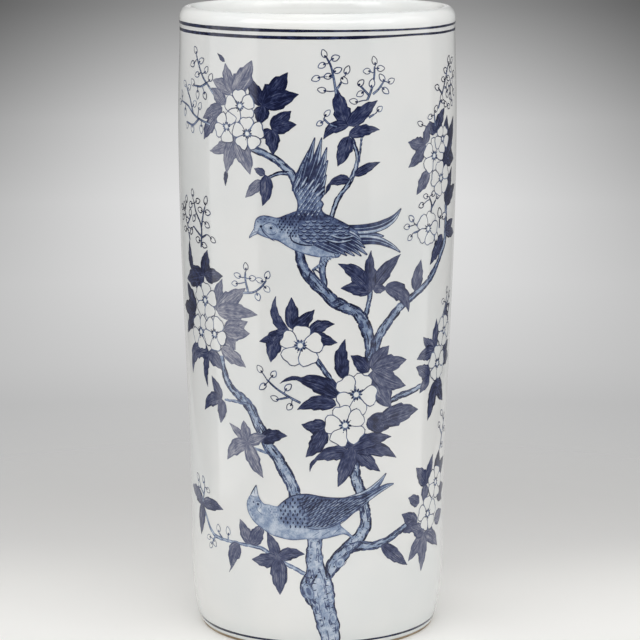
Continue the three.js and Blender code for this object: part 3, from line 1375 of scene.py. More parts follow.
class FlyingBird(Bird):
    """The upper bird, alighting with one wing raised and its tail spread behind it."""

    BODY = ((-44.4, 309.4), (-42.6, 314.6), (-38, 317), (-32.6, 316.8), (-27, 316), (-20, 319),
            (-14, 321.4), (-6, 322), (2, 320.4), (8, 318), (14, 315), (21, 311), (27, 307),
            (29, 301), (23, 296.4), (17, 292.4), (14, 288.6), (8, 289.2), (0, 289.2), (-7, 290.8),
            (-14, 293), (-20, 296), (-27, 300), (-35, 301.8), (-41, 303.8), (-44.2, 306))

    # Two long tail feathers that curve apart, over a shorter one between them.
    TAIL = (Feather(((20, 304), (30, 303.6), (40, 303.4), (47, 302)), (6, 4.5, 3.4, 0.6), 0.68),
            Feather(((20, 308), (30, 307.8), (40, 308.6), (48, 310.8), (55, 314.6), (60.6, 320.6)),
                    (6.4, 6.6, 7, 6.6, 4.4, 0.5), 0.8, 0.22),
            Feather(((20, 300), (32, 300.6), (42, 299.4), (50, 296.2), (56, 292.8), (60.6, 289.4)),
                    (7, 7, 5.6, 4, 2.4, 0.5), 0.78, 0.22, 1))

    WING_ROOT = ((-17, 316), (-13.6, 322), (-13.4, 328), (-15.4, 333), (-16.4, 337.4), (-14.4, 341),
                 (-11, 342.6), (-6, 341), (-1, 338.4), (2, 334.6), (3.8, 332), (1.8, 329.4),
                 (4, 326.6), (2.6, 322.4), (6, 317))

    # The raised wing's primaries, from the lowest up: three places along each, and its width.
    PRIMARIES = (((-0.4, 330), (2.6, 334.4), (4.8, 339), 4), ((-1.4, 332), (2.6, 340), (6, 347), 4.4),
                 ((-3, 334), (2, 345), (7, 357), 4.8), ((-4.5, 336), (1.8, 350), (6.3, 366), 5.4),
                 ((-7.5, 338), (-1.6, 354), (2.9, 372.8), 5.6),
                 ((-10.5, 339), (-6.4, 355), (-1.7, 372.8), 5.4),
                 ((-12.6, 338), (-9.6, 351), (-6, 363.6), 4.6),
                 ((-13.8, 337), (-12, 346.6), (-9, 356), 4), ((-15, 335), (-14.6, 340), (-12.4, 346.4), 3.4))

    # The folded wing's flight feathers, from the nearest the belly up.
    FLIGHT = (((-2, 299.5), (8, 294.6), (14.6, 291)), ((2, 300), (12, 295), (20.2, 289.6)),
              ((5, 301), (17, 295), (25.6, 289.2)), ((8, 302.4), (22, 295.6), (30.4, 288.8)),
              ((11, 304), (25, 297), (34.6, 289.6)), ((14, 306), (26, 300), (33, 294.6)),
              ((15, 308.4), (25, 303.6), (31.4, 299)))

    COVERTS = ((-12, 313), (-4, 316), (6, 315.6), (15, 313), (22, 309.4), (20, 304), (12, 300.6),
               (3, 298.6), (-7, 298.4), (-12.6, 303))

    SHOULDER = ((-28, 314.6), (-20, 318), (-13, 320.6), (-4, 321), (6, 318.4), (15, 314.6), (21, 311),
                (10, 314.6), (-2, 315.6), (-11, 313), (-13, 304), (-17, 301.6), (-24, 306))

    def paint(self) -> None:
        """Paints the bird from the far feathers to the near ones."""
        self.feathers(self.TAIL, Lift.BIRD, 0.02)
        self.raised_wing()
        self.pale.patch(self.BODY, Lift.BIRD + 0.07, self.wash)
        self.folded_wing()
        self.head()
        self.leg()
        for part, width, shade in ((self.BODY[13:] + self.BODY[:1], 0.6, 0.66), (self.BODY[:6], 0.6, 0.76),
                                   (self.BODY[8:13], 0.8, 0.86)):
            self.outline(part, Lift.BIRD + 0.1, width, shade)

    @staticmethod
    def wash(places: np.ndarray) -> np.ndarray:
        """The body's wash: pale at the head and belly, stronger along the back.

        Args:
            places: Where to give it.

        Returns:
            Its strength at each place.
        """
        u, z = places.T
        back = np.clip((z - 299 + 0.24 * u) / 10, 0, 1) * np.clip((u + 34) / 16, 0, 1)
        crown = 0.1 * np.clip((z - 311) / 5, 0, 1)
        return 0.37 + 0.25 * back + crown

    def raised_wing(self) -> None:
        """The raised wing: long primaries that fan up from a scaled shoulder."""
        lift, root = Lift.BIRD + 0.01, self.WING_ROOT
        self.feathers((Feather(tuple(path), (width + 0.6, width + 1.0, 0.4), 0.8)
                       for *path, width in self.PRIMARIES), lift)
        self.pale.patch(root, lift + 0.05, 0.6)
        self.outline(root[:6], lift + 0.062, 0.7, 0.8)
        self.outline(root[9:], lift + 0.062, 0.9, 0.9)
        self.slashes(root[:6] + ((-10, 340), (-4, 337.6), (-0.6, 334), (0.6, 329), (1, 322), (3, 318)),
                     3.0, 2.3, (1.3, 1.9), lift + 0.058)
        for bar in (((-14.6, 338.6), (-11.4, 345)), ((-11, 338), (-7, 345.4)), ((-7, 336.4), (-2.4, 343.6)),
                    ((-3.4, 334.6), (1.6, 341)), ((-0.6, 332), (4, 336.8))):
            self.doubled(bar, (1.0, 0.26, 0.5), (1.0, 0.9, 0.4), (1.2, -0.6), lift + 0.07)

    def folded_wing(self) -> None:
        """The near wing: freckled shoulder, scaled coverts and long dark flight feathers."""
        lift = Lift.BIRD + 0.08
        self.feathers((Feather(path, (4.2, 4.2, 0.5), 0.8, 0.3, 1) for path in self.FLIGHT), lift)
        self.pale.patch(self.COVERTS, lift + 0.046, 0.64)
        self.scales(self.COVERTS, 4.4, 2.3, 0.6, lift + 0.052)
        for bar in (((6, 301.4), (14, 299.4), (23, 300.6)), ((9, 304.4), (17, 302.2), (25, 303.6))):
            self.doubled(bar, (0.9, 0.3, 0.4), (0.9, 0.92, 0.4), (0, -1), lift + 0.06)
        self.freckles(self.SHOULDER, 2.5, 1.8, lift + 0.06)
        self.lines(lift + 0.06, (1.0, 0.92, 0.3, (-18.6, 305.6), (-17.4, 300.6), (-11.6, 297.8), (-3, 297)))
        self.freckles(((-18, 301.6), (-8, 299), (6, 297.6), (4, 295.6), (-8, 296.2), (-17, 298.6)),
                      2.2, 1.2, lift + 0.05, 0.7)

    def head(self) -> None:
        """The small head: a short bill, the eye, the line under the cheek and a speckled crown."""
        lift = Lift.BIRD + 0.1
        bill = ((-43.8, 308.6), (-45.6, 305.6), (-48.6, 300.6), (-45.4, 302.6), (-42, 304.2), (-41, 307.2))
        self.pale.patch(bill, lift - 0.012, 0.24)
        self.outline(bill[:4], lift, 0.6, 0.74)
        self.outline(bill[2:], lift, 0.5, 0.7)
        self.lines(lift, (0.45, 0.76, 0.4, (-47, 302.4), (-44.2, 305), (-41.6, 305.6)))
        self.dark.dot((-39.2, 309.4), 2.2, 1.9, 0.4, lift, 0.9)
        self.lines(lift, (0.9, 0.74, 0.3, (-39, 309), (-37.4, 305.6), (-33, 301.6), (-29.4, 299.6)),
                   (0.7, 0.66, 0.3, (-38, 310), (-33.6, 312.4), (-29, 311.4), (-27, 308)),
                   (0.55, 0.62, 0.3, (-37.6, 307.6), (-34.6, 304.6), (-30, 304), (-27.6, 306)))
        self.dark.dot((-32, 308.6), 2.0, 1.7, 0, lift, 0.92)
        self.pale.stroke(((-33.6, 310.4), (-31, 310.8), (-29.6, 309)), 0.6, lift, 0.16, 0.4)
        for spot in ((-41.6, 312.6), (-39.4, 314.4), (-36.4, 315), (-33, 314.6), (-36.8, 312.8),
                     (-30, 314.2)):
            self.dark.dot(spot, 1.6, 0.9, 0.5, lift, 0.66)
        self.freckles(((-29, 314), (-25, 314), (-22, 306), (-26, 305)), 2.2, 1.2, lift, 0.74)

    def leg(self) -> None:
        """The leg, barred and stretched down to the twig, with its toes round it."""
        lift = Lift.BIRD + 0.06
        shank = smooth(((12.5, 290.6), (8, 288), (2.6, 284), (-3.4, 279.4)), 1.6)
        self.pale.strip(shank, 1.0, 1.0, lift, 0.4)
        for t in np.arange(9) / 9:
            u, z = 12 - 15 * t, 290.2 - 10.6 * t
            self.lines(lift + 0.012, (0.6, 0.88, 0.6, (u - 0.9, z + 0.9), (u + 0.6, z - 1.1)))
        self.lines(lift + 0.02, (1.0, 0.9, 0.4, (-3, 279.8), (-1.6, 276.6), (0.6, 274)),
                   (1.0, 0.9, 0.4, (-3, 279.8), (-5.4, 277), (-5.6, 274)),
                   (1.0, 0.9, 0.4, (-3, 280), (-0.4, 279.6), (1.2, 277.6)))


class PerchedBird(Bird):
    """The lower bird, perched and looking up over its shoulder with its tail cocked."""

    BODY = ((-52, 113.6), (-54.8, 109), (-55, 104), (-53, 99), (-48.6, 94), (-42, 90), (-36, 86.6),
            (-28, 84.6), (-19, 83.4), (-8, 84.4), (4, 84.6), (13, 86.4), (20, 87.6), (27.6, 83.6),
            (23, 89), (17, 95), (22, 98.6), (28, 103.6), (36, 110.4), (36, 116), (22, 114.4), (11, 114.6),
            (2, 115.8), (-8, 117.4), (-18, 116), (-24.6, 112), (-29.6, 107.6), (-35.6, 108), (-40.6, 108.2),
            (-43.6, 111), (-45.6, 114.6))

    # The two tail feathers, crossed and cocked up to the right.
    TAIL = (Feather(((14, 110), (26, 113), (37, 116.6), (46, 122), (53.2, 129.6)), (6, 5.4, 5, 4.4, 0.5),
                    0.6, 0.2, 1),
            Feather(((16, 101), (26, 106.6), (36, 112.4), (46, 117.2), (54, 120), (60.2, 121)),
                    (8, 8, 6.4, 4.8, 3.4, 0.5), 0.66, 0.24))

    BACK = ((-29, 106), (-24, 111.6), (-18, 115.2), (-9, 116.6), (-2, 115.4), (-3, 104), (-7, 93),
            (-14, 90.4), (-21, 91.6), (-27, 97))

    BARBED = ((-13, 115), (-2, 115), (10, 113.6), (24, 113.6), (37, 115.6), (36, 111), (27, 104), (20, 99),
              (12, 95), (2, 92.6), (-8, 92.6), (-9, 100))

    def paint(self) -> None:
        """Paints the bird from the tail forward."""
        self.feathers(self.TAIL, Lift.BIRD, 0.02)
        self.pale.patch(self.BODY, Lift.BIRD + 0.05, self.wash)
        self.wing()
        self.head()
        for start, end, width, shade in ((0, 15, 0.55, 0.6), (15, 20, 0.6, 0.8), (19, 27, 0.75, 0.86),
                                         (27, 31, 0.5, 0.6)):
            self.outline(self.BODY[start:end], Lift.BIRD + 0.09, width, shade)

    @staticmethod
    def wash(places: np.ndarray) -> np.ndarray:
        """The body's wash: pale breast and belly, stronger on the back and wing.

        Args:
            places: Where to give it.

        Returns:
            Its strength at each place.
        """
        u, z = places.T
        back = np.clip((z - 91) / 5, 0, 1) * np.clip((u + 32) / 8, 0, 1)
        return 0.32 + 0.18 * back + 0.14 * back * np.clip((u + 16) / 10, 0, 1)

    def wing(self) -> None:
        """Freckled back, slanting barbs that sweep up to the tail, and the wing's lower edge."""
        lift, off = Lift.BIRD + 0.06, self.brushes.off
        self.freckles(self.BACK, 3.6, 2.3, lift + 0.01, 0.88, 1.4)
        self.freckles(((-38, 107), (-30, 106.4), (-28, 97), (-33, 96)), 2.4, 1.0, lift + 0.01, 0.6, 1.4)
        for u, z in self.scattered(self.BARBED, 2.9, 2.5):
            reach = 1.0 + 0.03 * max(u, 0)
            barb = ((u - 2.8 * reach, z - 1.2), (u, z - 0.5), (u + 3.2 * reach, z + 1.8))
            self.dark.stroke(barb, 1.0 + off(0.25), lift + 0.012, 0.86 + off(0.08), 0.2)
            self.pale.stroke(np.array(barb[1:]) + (0.6, -1), 0.55, lift + 0.016, 0.44 + off(0.1), 0.2)
        self.freckles(((-2, 115), (8, 114), (20, 112), (12, 109), (0, 110)), 2.7, 1.7,
                      lift + 0.022, 0.92, 1.0)
        self.lines(lift + 0.024, (0.8, 0.72, 0.3, (-8, 92.4), (0, 91.6), (9, 93), (17, 96.6), (26, 102.6)))
        for ends in (((-4, 86.4), (2, 90)), ((3, 86.6), (10, 90.6)), ((12, 88), (18, 93)),
                     ((18, 89), (24, 86))):
            self.lines(lift + 0.012, (0.5, 0.6, 0.3, *ends))

    def head(self) -> None:
        """The head turned up, with its bill pointing at the sky."""
        lift = Lift.BIRD + 0.09
        bill = ((-52, 113.4), (-50, 117), (-46.8, 121.8), (-46, 117.4), (-45.2, 113.4), (-48, 112.6))
        self.pale.patch(bill, lift - 0.012, 0.14)
        self.outline(bill[:3], lift, 0.8, 0.84)
        self.outline(bill[2:5], lift, 0.5, 0.7)
        self.lines(lift, (0.5, 0.66, 0.4, (-51.6, 113.4), (-48.6, 112.6), (-46, 113)),
                   (0.4, 0.74, 0.4, (-48, 119), (-48.4, 115)))
        self.dark.dot((-49.4, 108.8), 1.6, 1.6, 0, lift, 0.78)
        self.dark.dot((-45.6, 107.6), 2.0, 2.0, 0, lift, 0.8)
        self.lines(lift, (0.6, 0.6, 0.3, (-47.6, 109.4), (-44.6, 110), (-42.6, 107), (-44.6, 104)),
                   (0.6, 0.56, 0.3, (-47.4, 106), (-45.6, 102.4), (-41.6, 100)))
        cheek = ((-46, 105), (-44, 106), (-42.6, 103), (-43.6, 100.6), (-46, 102))
        self.pale.patch(cheek, lift - 0.006, 0.14)
        for spot in ((-52.6, 111), (-53.4, 106.4), (-52.4, 102.4), (-50.4, 98.8), (-47.6, 96), (-50, 104),
                     (-51, 113)):
            self.dark.dot(spot, 1.5, 0.8, 1.4, lift, 0.58)


class BlossomTree:
    """The whole picture on one side of the pot, from the trunk at the foot to the top sprays."""

    # The trunk, its two limbs and the boughs that fork from them: path, widths, load, order and ink.
    LIMBS = (
        (((11, 2), (9.5, 14), (6, 28), (3, 42), (1, 54), (-2.5, 66), (-2.5, 76), (-1, 88)),
         (15.5, 15.5, 17, 18.5, 18.5, 12.5, 10.5, 11), 0.3),
        (((8.6, 55), (11, 63), (16, 70.5), (24, 78), (32, 85), (36.5, 93), (36.5, 101), (34.5, 109),
          (32.5, 117), (29.5, 125), (27, 136), (26, 146)), (3, 9, 10.5, 9.5, 9, 8.5, 8.5, 8.5, 8, 8, 7.5, 7),
         0.35, 1),
        (((24, 77), (33, 78), (42, 77), (52, 79), (60, 82), (68, 85.5), (75, 89)),
         (6, 6.4, 5.6, 5, 4.4, 4.4, 3.4), 0.4, 0, 0.75),
        (((-9, 58.5), (-16, 62), (-24, 65.5), (-33, 70), (-42, 74.5), (-52, 76), (-64, 76)),
         (2.6, 2.4, 2.4, 2.2, 2.2, 2, 2), 0.34, 0, 0.62),
        (((-60, 76), (-75, 76.4), (-88, 77), (-95, 81), (-101, 89), (-108, 99)), (2, 2, 1.9, 1.7, 1.6, 1.5),
         0.3, 0, 0.55),
        (((-15, 108), (-17, 118), (-21, 128), (-27, 138), (-32, 146), (-37, 152), (-41, 160), (-46, 169),
          (-50, 177), (-56, 183), (-64, 188), (-70, 194), (-74, 203), (-75.5, 213)),
         (8.5, 8.5, 8.5, 8, 8, 7.6, 7.4, 7, 7, 6.6, 5.6, 5, 4.4, 4), 0.36, 0, 0.82),
        (((-52, 180), (-62, 181.2), (-74, 181)), (2.2, 1.8, 1.4), 0.4, 0, 0.6),
        (((-35, 146), (-42, 147), (-49, 148.6)), (1.8, 1.5, 1.3), 0.4, 0, 0.6),
        (((-12, 294), (-11, 285), (-7, 277), (-1, 270), (5, 264), (11, 257.5), (18, 253.6), (27, 249),
          (32.5, 242), (36, 233), (38, 224), (38.5, 212)), (6, 6, 7, 7.5, 7.5, 8, 7, 7, 8, 8, 8, 7), 0.46, 1),
        (((5, 290), (3.4, 280), (5, 268)), (4.4, 4, 3.6), 0.46),
        (((17, 258), (13, 255), (10, 254.4)), (6, 4.6, 3.4), 0.46, 1),
        (((-3, 60), (-8.6, 51), (-8.4, 43), (-2, 34)), (7, 7.6, 6, 3), 0.34, 1),
        (((37.5, 264), (36, 254), (33.5, 245)), (3, 3, 3), 0.38),
        (((40, 216), (43.5, 228), (49, 237), (56, 245), (63, 251), (70, 255), (80, 260), (90, 266),
          (100, 275.5), (107, 284.5), (112, 293), (113, 304), (112, 318), (113, 332)),
         (7, 6.4, 6, 6, 5.4, 4.6, 4.4, 4.4, 4.4, 4.4, 4.4, 4, 3.6, 3), 0.4),
        (((9, 315), (11, 323), (15, 332), (21, 340), (25.5, 350), (27, 358), (25.4, 366), (22, 374)),
         (2.8, 3, 3, 3, 3, 2.6, 2.4, 2), 0.34),
        (((28, 355), (29, 364), (30, 372)), (1.2, 1.2, 1.2), 0.4),
        (((-14, 336), (-15.4, 343), (-20, 350), (-27, 356), (-35, 360), (-46, 364)), (4.4, 5, 5, 4.6, 4.2, 4),
         0.36),
        (((-19, 347.4), (-27, 347), (-35, 343)), (2.6, 2.2, 1.6), 0.42),
        (((54, 182), (65, 185.4), (75, 187), (86, 189.6)), (4, 4, 3.8, 3.4), 0.4),
        (((-1, 216), (6, 206), (13.6, 195)), (3.6, 3.2, 3), 0.36),
    )

    # The knots in the trunk and where the limbs fork: middle, width, height and turn.
    KNOTS = (
        ((-6.5, 45.5), 6.4, 13, 24), ((17, 66.5), 6, 8, -40), ((12, 25), 5, 9, 8), ((0, 33), 3.4, 9, 10),
        ((2.4, 70), 3.4, 6), ((24, 77), 4, 6, -50),
    )

    # The leaves, in the groups in which they spring: base, leaves and load. The paler loads on leaves near
    # the sides are partly painted reflection of the glaze's side highlights.
    LEAVES = (
        # upper left
        ((-61, 402), ((-80, 409.5, 9.5), (-68, 422, 9), (-46, 425, 13, -0.05)), PALE),
        ((-68.5, 423), ((-75.5, 428.5, 2.8),)),
        ((-66.5, 347), ((-67.5, 336, 3.4),)),
        ((-37, 394), ((-48, 414, 9), (-20, 417.5, 13), (-12.5, 402.5, 12), (-40, 381, 10)), FULL),
        ((-31, 377.5), ((-17.5, 391, 10), (-14, 381.5, 9), (-38.5, 371.5, 7), (-30, 360, 9))),
        ((-68, 393), ((-81, 404, 9),), PALE),
        ((-70, 391), ((-90, 382, 10),), THIN),
        ((-76, 384), ((-89, 367, 9),), THIN),
        ((-59, 371), ((-82.5, 359.5, 9, 0.1), (-66.5, 345, 10, -0.04), (-47, 345.5, 12, 0.05)), PALE),
        ((-36, 346), ((-44, 350, 5), (-38, 324, 8.5, 0.08)), HALF),
        ((-38, 342), ((-51, 329, 7),), PALE),
        # top centre
        ((21, 380.5), ((13, 407, 10, 0.06), (41.5, 397.5, 9.5, 0.03), (4, 371.5, 7.4, -0.2)), 0.86),
        ((21, 373.5), ((43, 377, 7.6, 0.09), (13.5, 352.5, 9.4)), 0.86),
        ((25, 345.5), ((43.5, 354.5, 6),)),
        ((22, 343), ((7, 339.5, 6.6, -0.1),), 0.86),
        ((8.6, 341.4), ((5.2, 333, 2.4),)),
        # under the flying bird
        ((38.5, 263.5), ((16, 266.5, 9.6, -0.05), (14, 284, 10.4, -0.08), (37.5, 292.5, 8, 0.05)), 0.86),
        ((39, 265), ((61, 288, 9.6), (50, 264.5, 6)), HALF),
        ((48, 265), ((69.5, 245.5, 11, 0.2),), HALF),
        ((75, 260), ((80.5, 282, 10),), HALF),
        ((107, 297), ((91, 277, 10),)),
        # right edge, upper
        ((83, 364), ((66, 367, 9.5), (86.5, 379, 7), (66.5, 349, 9)), HALF),
        ((87, 345), ((74.5, 329, 9),), HALF),
        ((95, 371), ((87, 380, 8), (107.5, 388, 9))),
        ((109, 352), ((122, 366, 12), (128, 349, 12), (112, 382, 13), (126, 380, 12), (103, 346, 8)), FULL),
        ((111, 318), ((123, 344, 10), (134, 330, 10)), FULL),
        ((112, 299), ((130, 305, 9), (136, 294, 8))),
        # left middle
        ((-92, 269), ((-121, 262.5, 15), (-87.5, 288, 9.6), (-72, 271, 10))),
        ((-109, 270), ((-113, 292, 6.4, 0.08),), FULL),
        ((-107, 240), ((-121, 260, 12), (-132, 241, 12), (-126, 222, 10)), FULL),
        ((-79, 245), ((-72.5, 269, 9.4, 0.06), (-52, 264.5, 12.5), (-43, 246, 11.5, 0.03)), PALE),
        ((-72, 231.5), ((-62, 219, 12), (-51, 240.5, 11.5), (-49.5, 232, 11)), PALE),
        ((-76, 218), ((-53.5, 207, 10, 0.05),), PALE),
        ((-90, 214), ((-117, 193.5, 12, -0.28), (-93, 187.5, 6.4, -0.12), (-75.5, 203, 11), (-104, 211, 9)),
         HALF),
        ((-77, 181), ((-87.5, 196.5, 7.5), (-98.5, 169.5, 9, -0.15), (-79, 163, 8.5)), HALF),
        ((-53.5, 152),
         ((-70, 164.5, 6), (-56.5, 168, 9), (-73, 137, 10, -0.12), (-41, 127.5, 10), (-38, 158.5, 8)), PALE),
        ((-43, 154), ((-22, 159.5, 9.5, 0.1),)),
        # centre
        ((-19, 234), ((-29, 260.5, 6.4, 0.2),), 0.86),
        ((-17.5, 237), ((-18, 260, 9), (-2, 251.5, 9))),
        ((-5.5, 233.5), ((12, 241, 8.4, 0.14), (14, 227.5, 9))),
        ((-19, 236), ((-42, 227, 9),), 0.84),
        ((-28.5, 233), ((-33.5, 212.5, 10.5),), 0.84),
        ((20, 201), ((19.5, 230, 9.5, 0.1),)),
        ((37, 205), ((23.5, 218, 9.5),)),
        ((40, 206), ((56, 178, 19), (53, 223, 12), (69, 211, 12.5), (69, 192, 12.5, -0.06)), HALF),
        ((15.5, 188.5), ((-16, 201, 12, -0.1),)),
        ((-10, 201.4), ((-27, 197.5, 2.8, -0.12),)),
        ((13.5, 182.5), ((-14.5, 179, 9.8, -0.12),)),
        ((7, 169), ((-11.5, 168.5, 9.5, 0.1),)),
        ((5, 165), ((-8.5, 144.5, 11, 0.06),)),
        ((37, 171), ((60, 168, 13, -0.1), (49, 160.5, 8))),
        ((46, 168), ((83, 172.5, 14, 0.05),), HALF),
        ((23, 147), ((-3, 142, 9.5, -0.1),), 0.82),
        ((0.5, 143.6), ((-5.5, 134, 2.6, -0.15),)),
        ((24, 150), ((62, 140, 10.5, 0.1), (57, 156, 10, 0.08)), 0.82),
        ((26, 151), ((48, 131.5, 9.5), (15, 122.5, 11.5), (18, 158, 7)), 0.84),
        # right middle
        ((101, 213), ((103, 236, 8.5), (86, 225, 8.5), (79.5, 209.5, 9.5)), HALF),
        ((96, 194), ((79, 204, 10), (84, 184, 8)), HALF),
        ((105, 190), ((95.5, 162, 11), (122, 172, 11), (118, 186, 9))),
        ((116, 236), ((131, 243, 9), (128, 231, 9))),
        ((116, 206), ((134, 203, 12), (131, 216, 10))),
        # lower right
        ((97, 114), ((83, 129, 10.5), (94, 101, 9), (106, 135, 8.5)), HALF),
        ((88, 102), ((75, 108, 8.5),), HALF),
        ((86, 87), ((68.5, 97, 10), (70, 83, 8)), HALF),
        ((95, 78), ((76, 60.5, 10), (91.5, 50, 10.5), (120, 63, 10.5, 0.08), (78, 86, 10)), THIN),
        ((112, 84), ((131, 88, 10),), THIN),
        ((114, 118), ((119, 136, 11), (134, 128, 10))),
        ((116, 104), ((136, 106, 10), (131, 96, 9))),
        ((50, 77), ((75, 58, 9),), HALF),
        # lower left
        ((-30, 69), ((-38.5, 87.5, 8), (-9.5, 73, 8.5, 0.1), (-51.5, 66, 9.5), (-28.5, 42, 12)), HALF),
        ((-52, 77), ((-62, 94.5, 9), (-41.5, 94, 10)), THIN),
        ((-63, 76), ((-72, 58, 10.5, -0.06), (-73.5, 53, 3.5)), THIN),
        ((-107, 98), ((-79, 98.5, 8.5, 0.06), (-111, 73.5, 10), (-132, 106, 10, -0.08)), HALF),
    )

    # The open blossoms: centre, radius, turn and height. Neighbours differ in height, to overlap.
    BLOSSOMS = (
        ((-55, 393), 12, 95), ((-66, 378), 11, 60, 0.12), ((-49, 374), 12, 20, 0.24), ((93, 355), 12.5, 80),
        ((102.5, 338), 12, 100, 0.12), ((104, 366), 10, 50, 0.12), ((87.5, 303.5), 12, 70),
        ((-92, 251), 13, 85), ((-99, 227), 13.5, 130, 0.12), ((-82, 228), 12.5, 60, 0.24),
        ((-12, 225.5), 15, 85), ((28, 189.5), 15.5, 62), ((20, 167.5), 15, 100, 0.12), ((107, 202.5), 13, 90),
        ((117, 225), 12, 70, 0.12), ((100, 91.5), 13, 95), ((112, 113), 12.5, 75, 0.12),
    )

    # The sprays of buds: stems, buds, size and ink.
    BUDS = (
        ((((-79, 400), (-84, 405), (-90, 410), (-95, 417), (-100, 426)),
          ((-86, 407), (-93, 404), (-101, 404))),
         ((-101, 429), (-105, 419), (-93, 422), (-87, 416), (-98, 412), (-104, 406), (-97, 398), (-88, 398),
          (-82, 411))),
        ((((-82, 378), (-95, 381), (-103, 384), (-112, 389), (-124, 391)),
          ((-103, 384), (-108, 394), (-113, 400)), ((-95, 381), (-103, 376), (-112, 377))),
         ((-101, 391), (-104, 373), (-113, 375), (-92, 374), (-117, 384), (-110, 402), (-118, 404),
          (-125, 396), (-130, 390), (-94, 390)), 5.0, -0.08),
        ((((12.5, 403), (11, 413), (9, 422), (6, 428)), ((12, 405), (15, 409), (18, 415))),
         ((4.5, 430.5), (12, 427.5), (3, 422.5), (13.5, 419), (20, 419), (-1, 413.5), (7, 415), (18, 412),
          (3, 405.5)), 4.8),
        ((((13, 380), (8, 382), (4, 386)),), ((6.5, 389.5), (1.5, 382.5)), 4.4),
        ((((34, 398), (37, 405), (39, 413), (39.5, 421)), ((38, 402), (42, 405), (46, 410)),
          ((35.5, 401), (31, 406), (28, 409))),
         ((39.5, 425), (44, 419.5), (34, 418), (45, 413), (52, 410.5), (29.5, 410), (37.5, 409.5),
          (24.5, 397.5), (47.5, 404), (29, 402.5)), 4.8),
        ((((35, 386), (39, 388)),), ((43, 391.5),), 4.4),
        ((((89, 371), (86, 376)), ((94, 376), (93, 384))), ((77.5, 379), (88, 383), (95, 388)), 4.6, 0.06),
        ((((98, 388), (104, 398), (110, 408), (115, 417)), ((104, 398), (99, 402)),
          ((108, 402), (114, 402), (121, 403))),
         ((117, 421), (110, 414), (106, 408), (97, 403), (103, 395), (112, 397), (122, 405), (120, 414),
          (127, 397), (118, 395), (109, 390), (115, 388), (122, 390), (115, 408), (113, 402), (124, 420),
          (128, 410)), 4.8, 0.14),
        ((((90, 314), (91, 320), (88, 326)), ((91, 318), (96, 323))),
         ((84, 327), (93, 328), (79.5, 321), (99, 326)), 4.8, 0.08),
        ((((79, 305), (74, 308)), ((79, 303), (72, 302))), ((70, 312.5), (66, 307), (69, 299)), 4.6),
        ((((102, 302), (102, 309)), ((98, 288), (98, 292))), ((102, 313), (98, 296), (109, 310)), 6.4, 0.1),
        ((((-95, 289), (-94, 304), (-101, 314), (-104, 322)), ((-94, 304), (-91, 314), (-89, 319)),
          ((-94.5, 297), (-100, 300), (-105, 303)), ((-94, 296), (-88, 299))),
         ((-105.5, 327), (-88, 323.5), (-86, 315), (-98, 322), (-109, 318), (-95, 316), (-104, 309),
          (-87, 306), (-109, 299), (-99, 294), (-81, 296), (-91, 291)), 5.0, 0.16),
        ((((-112, 292), (-116, 303), (-121, 312)), ((-116, 303), (-110, 309))),
         ((-122, 316), (-117, 321), (-126, 307), (-110, 312), (-121, 299), (-128, 314), (-116, 306),
          (-113, 299)), 5.0, 0.16),
        ((((-54, 261), (-46, 262), (-40, 266), (-36, 271)), ((-50, 262), (-52, 270), (-52, 276))),
         ((-51.5, 280), (-58.5, 273), (-46.5, 272), (-41, 271), (-35, 275), (-35.5, 265), (-42.5, 259),
          (-61, 267)), 4.8, -0.1),
        ((((-12, 184), (-20, 188), (-30, 194), (-37, 200)), ((-20, 188), (-28, 186))),
         ((-42, 207), (-31.5, 204), (-40, 194.5), (-21, 195), (-31, 186.5), (-20, 181)), 5.0),
        ((((112, 234), (118, 243), (121, 250)), ((118, 243), (125, 246))),
         ((121, 254), (113, 247), (128, 250), (125, 240)), 4.8),
        ((((120, 136), (124, 146), (128, 155)), ((124, 146), (118, 152))),
         ((129, 159), (116, 155), (121, 163), (132, 149), (126, 138)), 4.8),
        ((((-88, 77), (-92, 74)), ((-80, 76.5), (-84, 80)), ((-74, 76), (-74, 79))),
         ((-85, 83.5), (-74, 83.5), (-98, 74.5), (-95, 69), (-90, 71.5)), 5.0, -0.16),
        ((((-107, 99), (-104, 107), (-103, 111)), ((-105, 105), (-110, 109))),
         ((-105, 116), (-98, 109.5), (-113, 111), (-115, 116)), 4.8, -0.08),
    )

    def paint(self, brushes: Brushes) -> None:
        """Paints one side of the pot, back to front.

        Args:
            brushes: The layers to paint on.
        """
        for kind, rows in ((Limb, self.LIMBS), (Knot, self.KNOTS), (LeafSpray, self.LEAVES),
                           (Blossom, self.BLOSSOMS), (BudSpray, self.BUDS)):
            for row in rows:
                kind(*row).paint(brushes)
        FlyingBird(brushes).paint()
        PerchedBird(brushes).paint()


Marks = tuple[tuple[float, float, float], ...]  # the way round, the height and the width at places


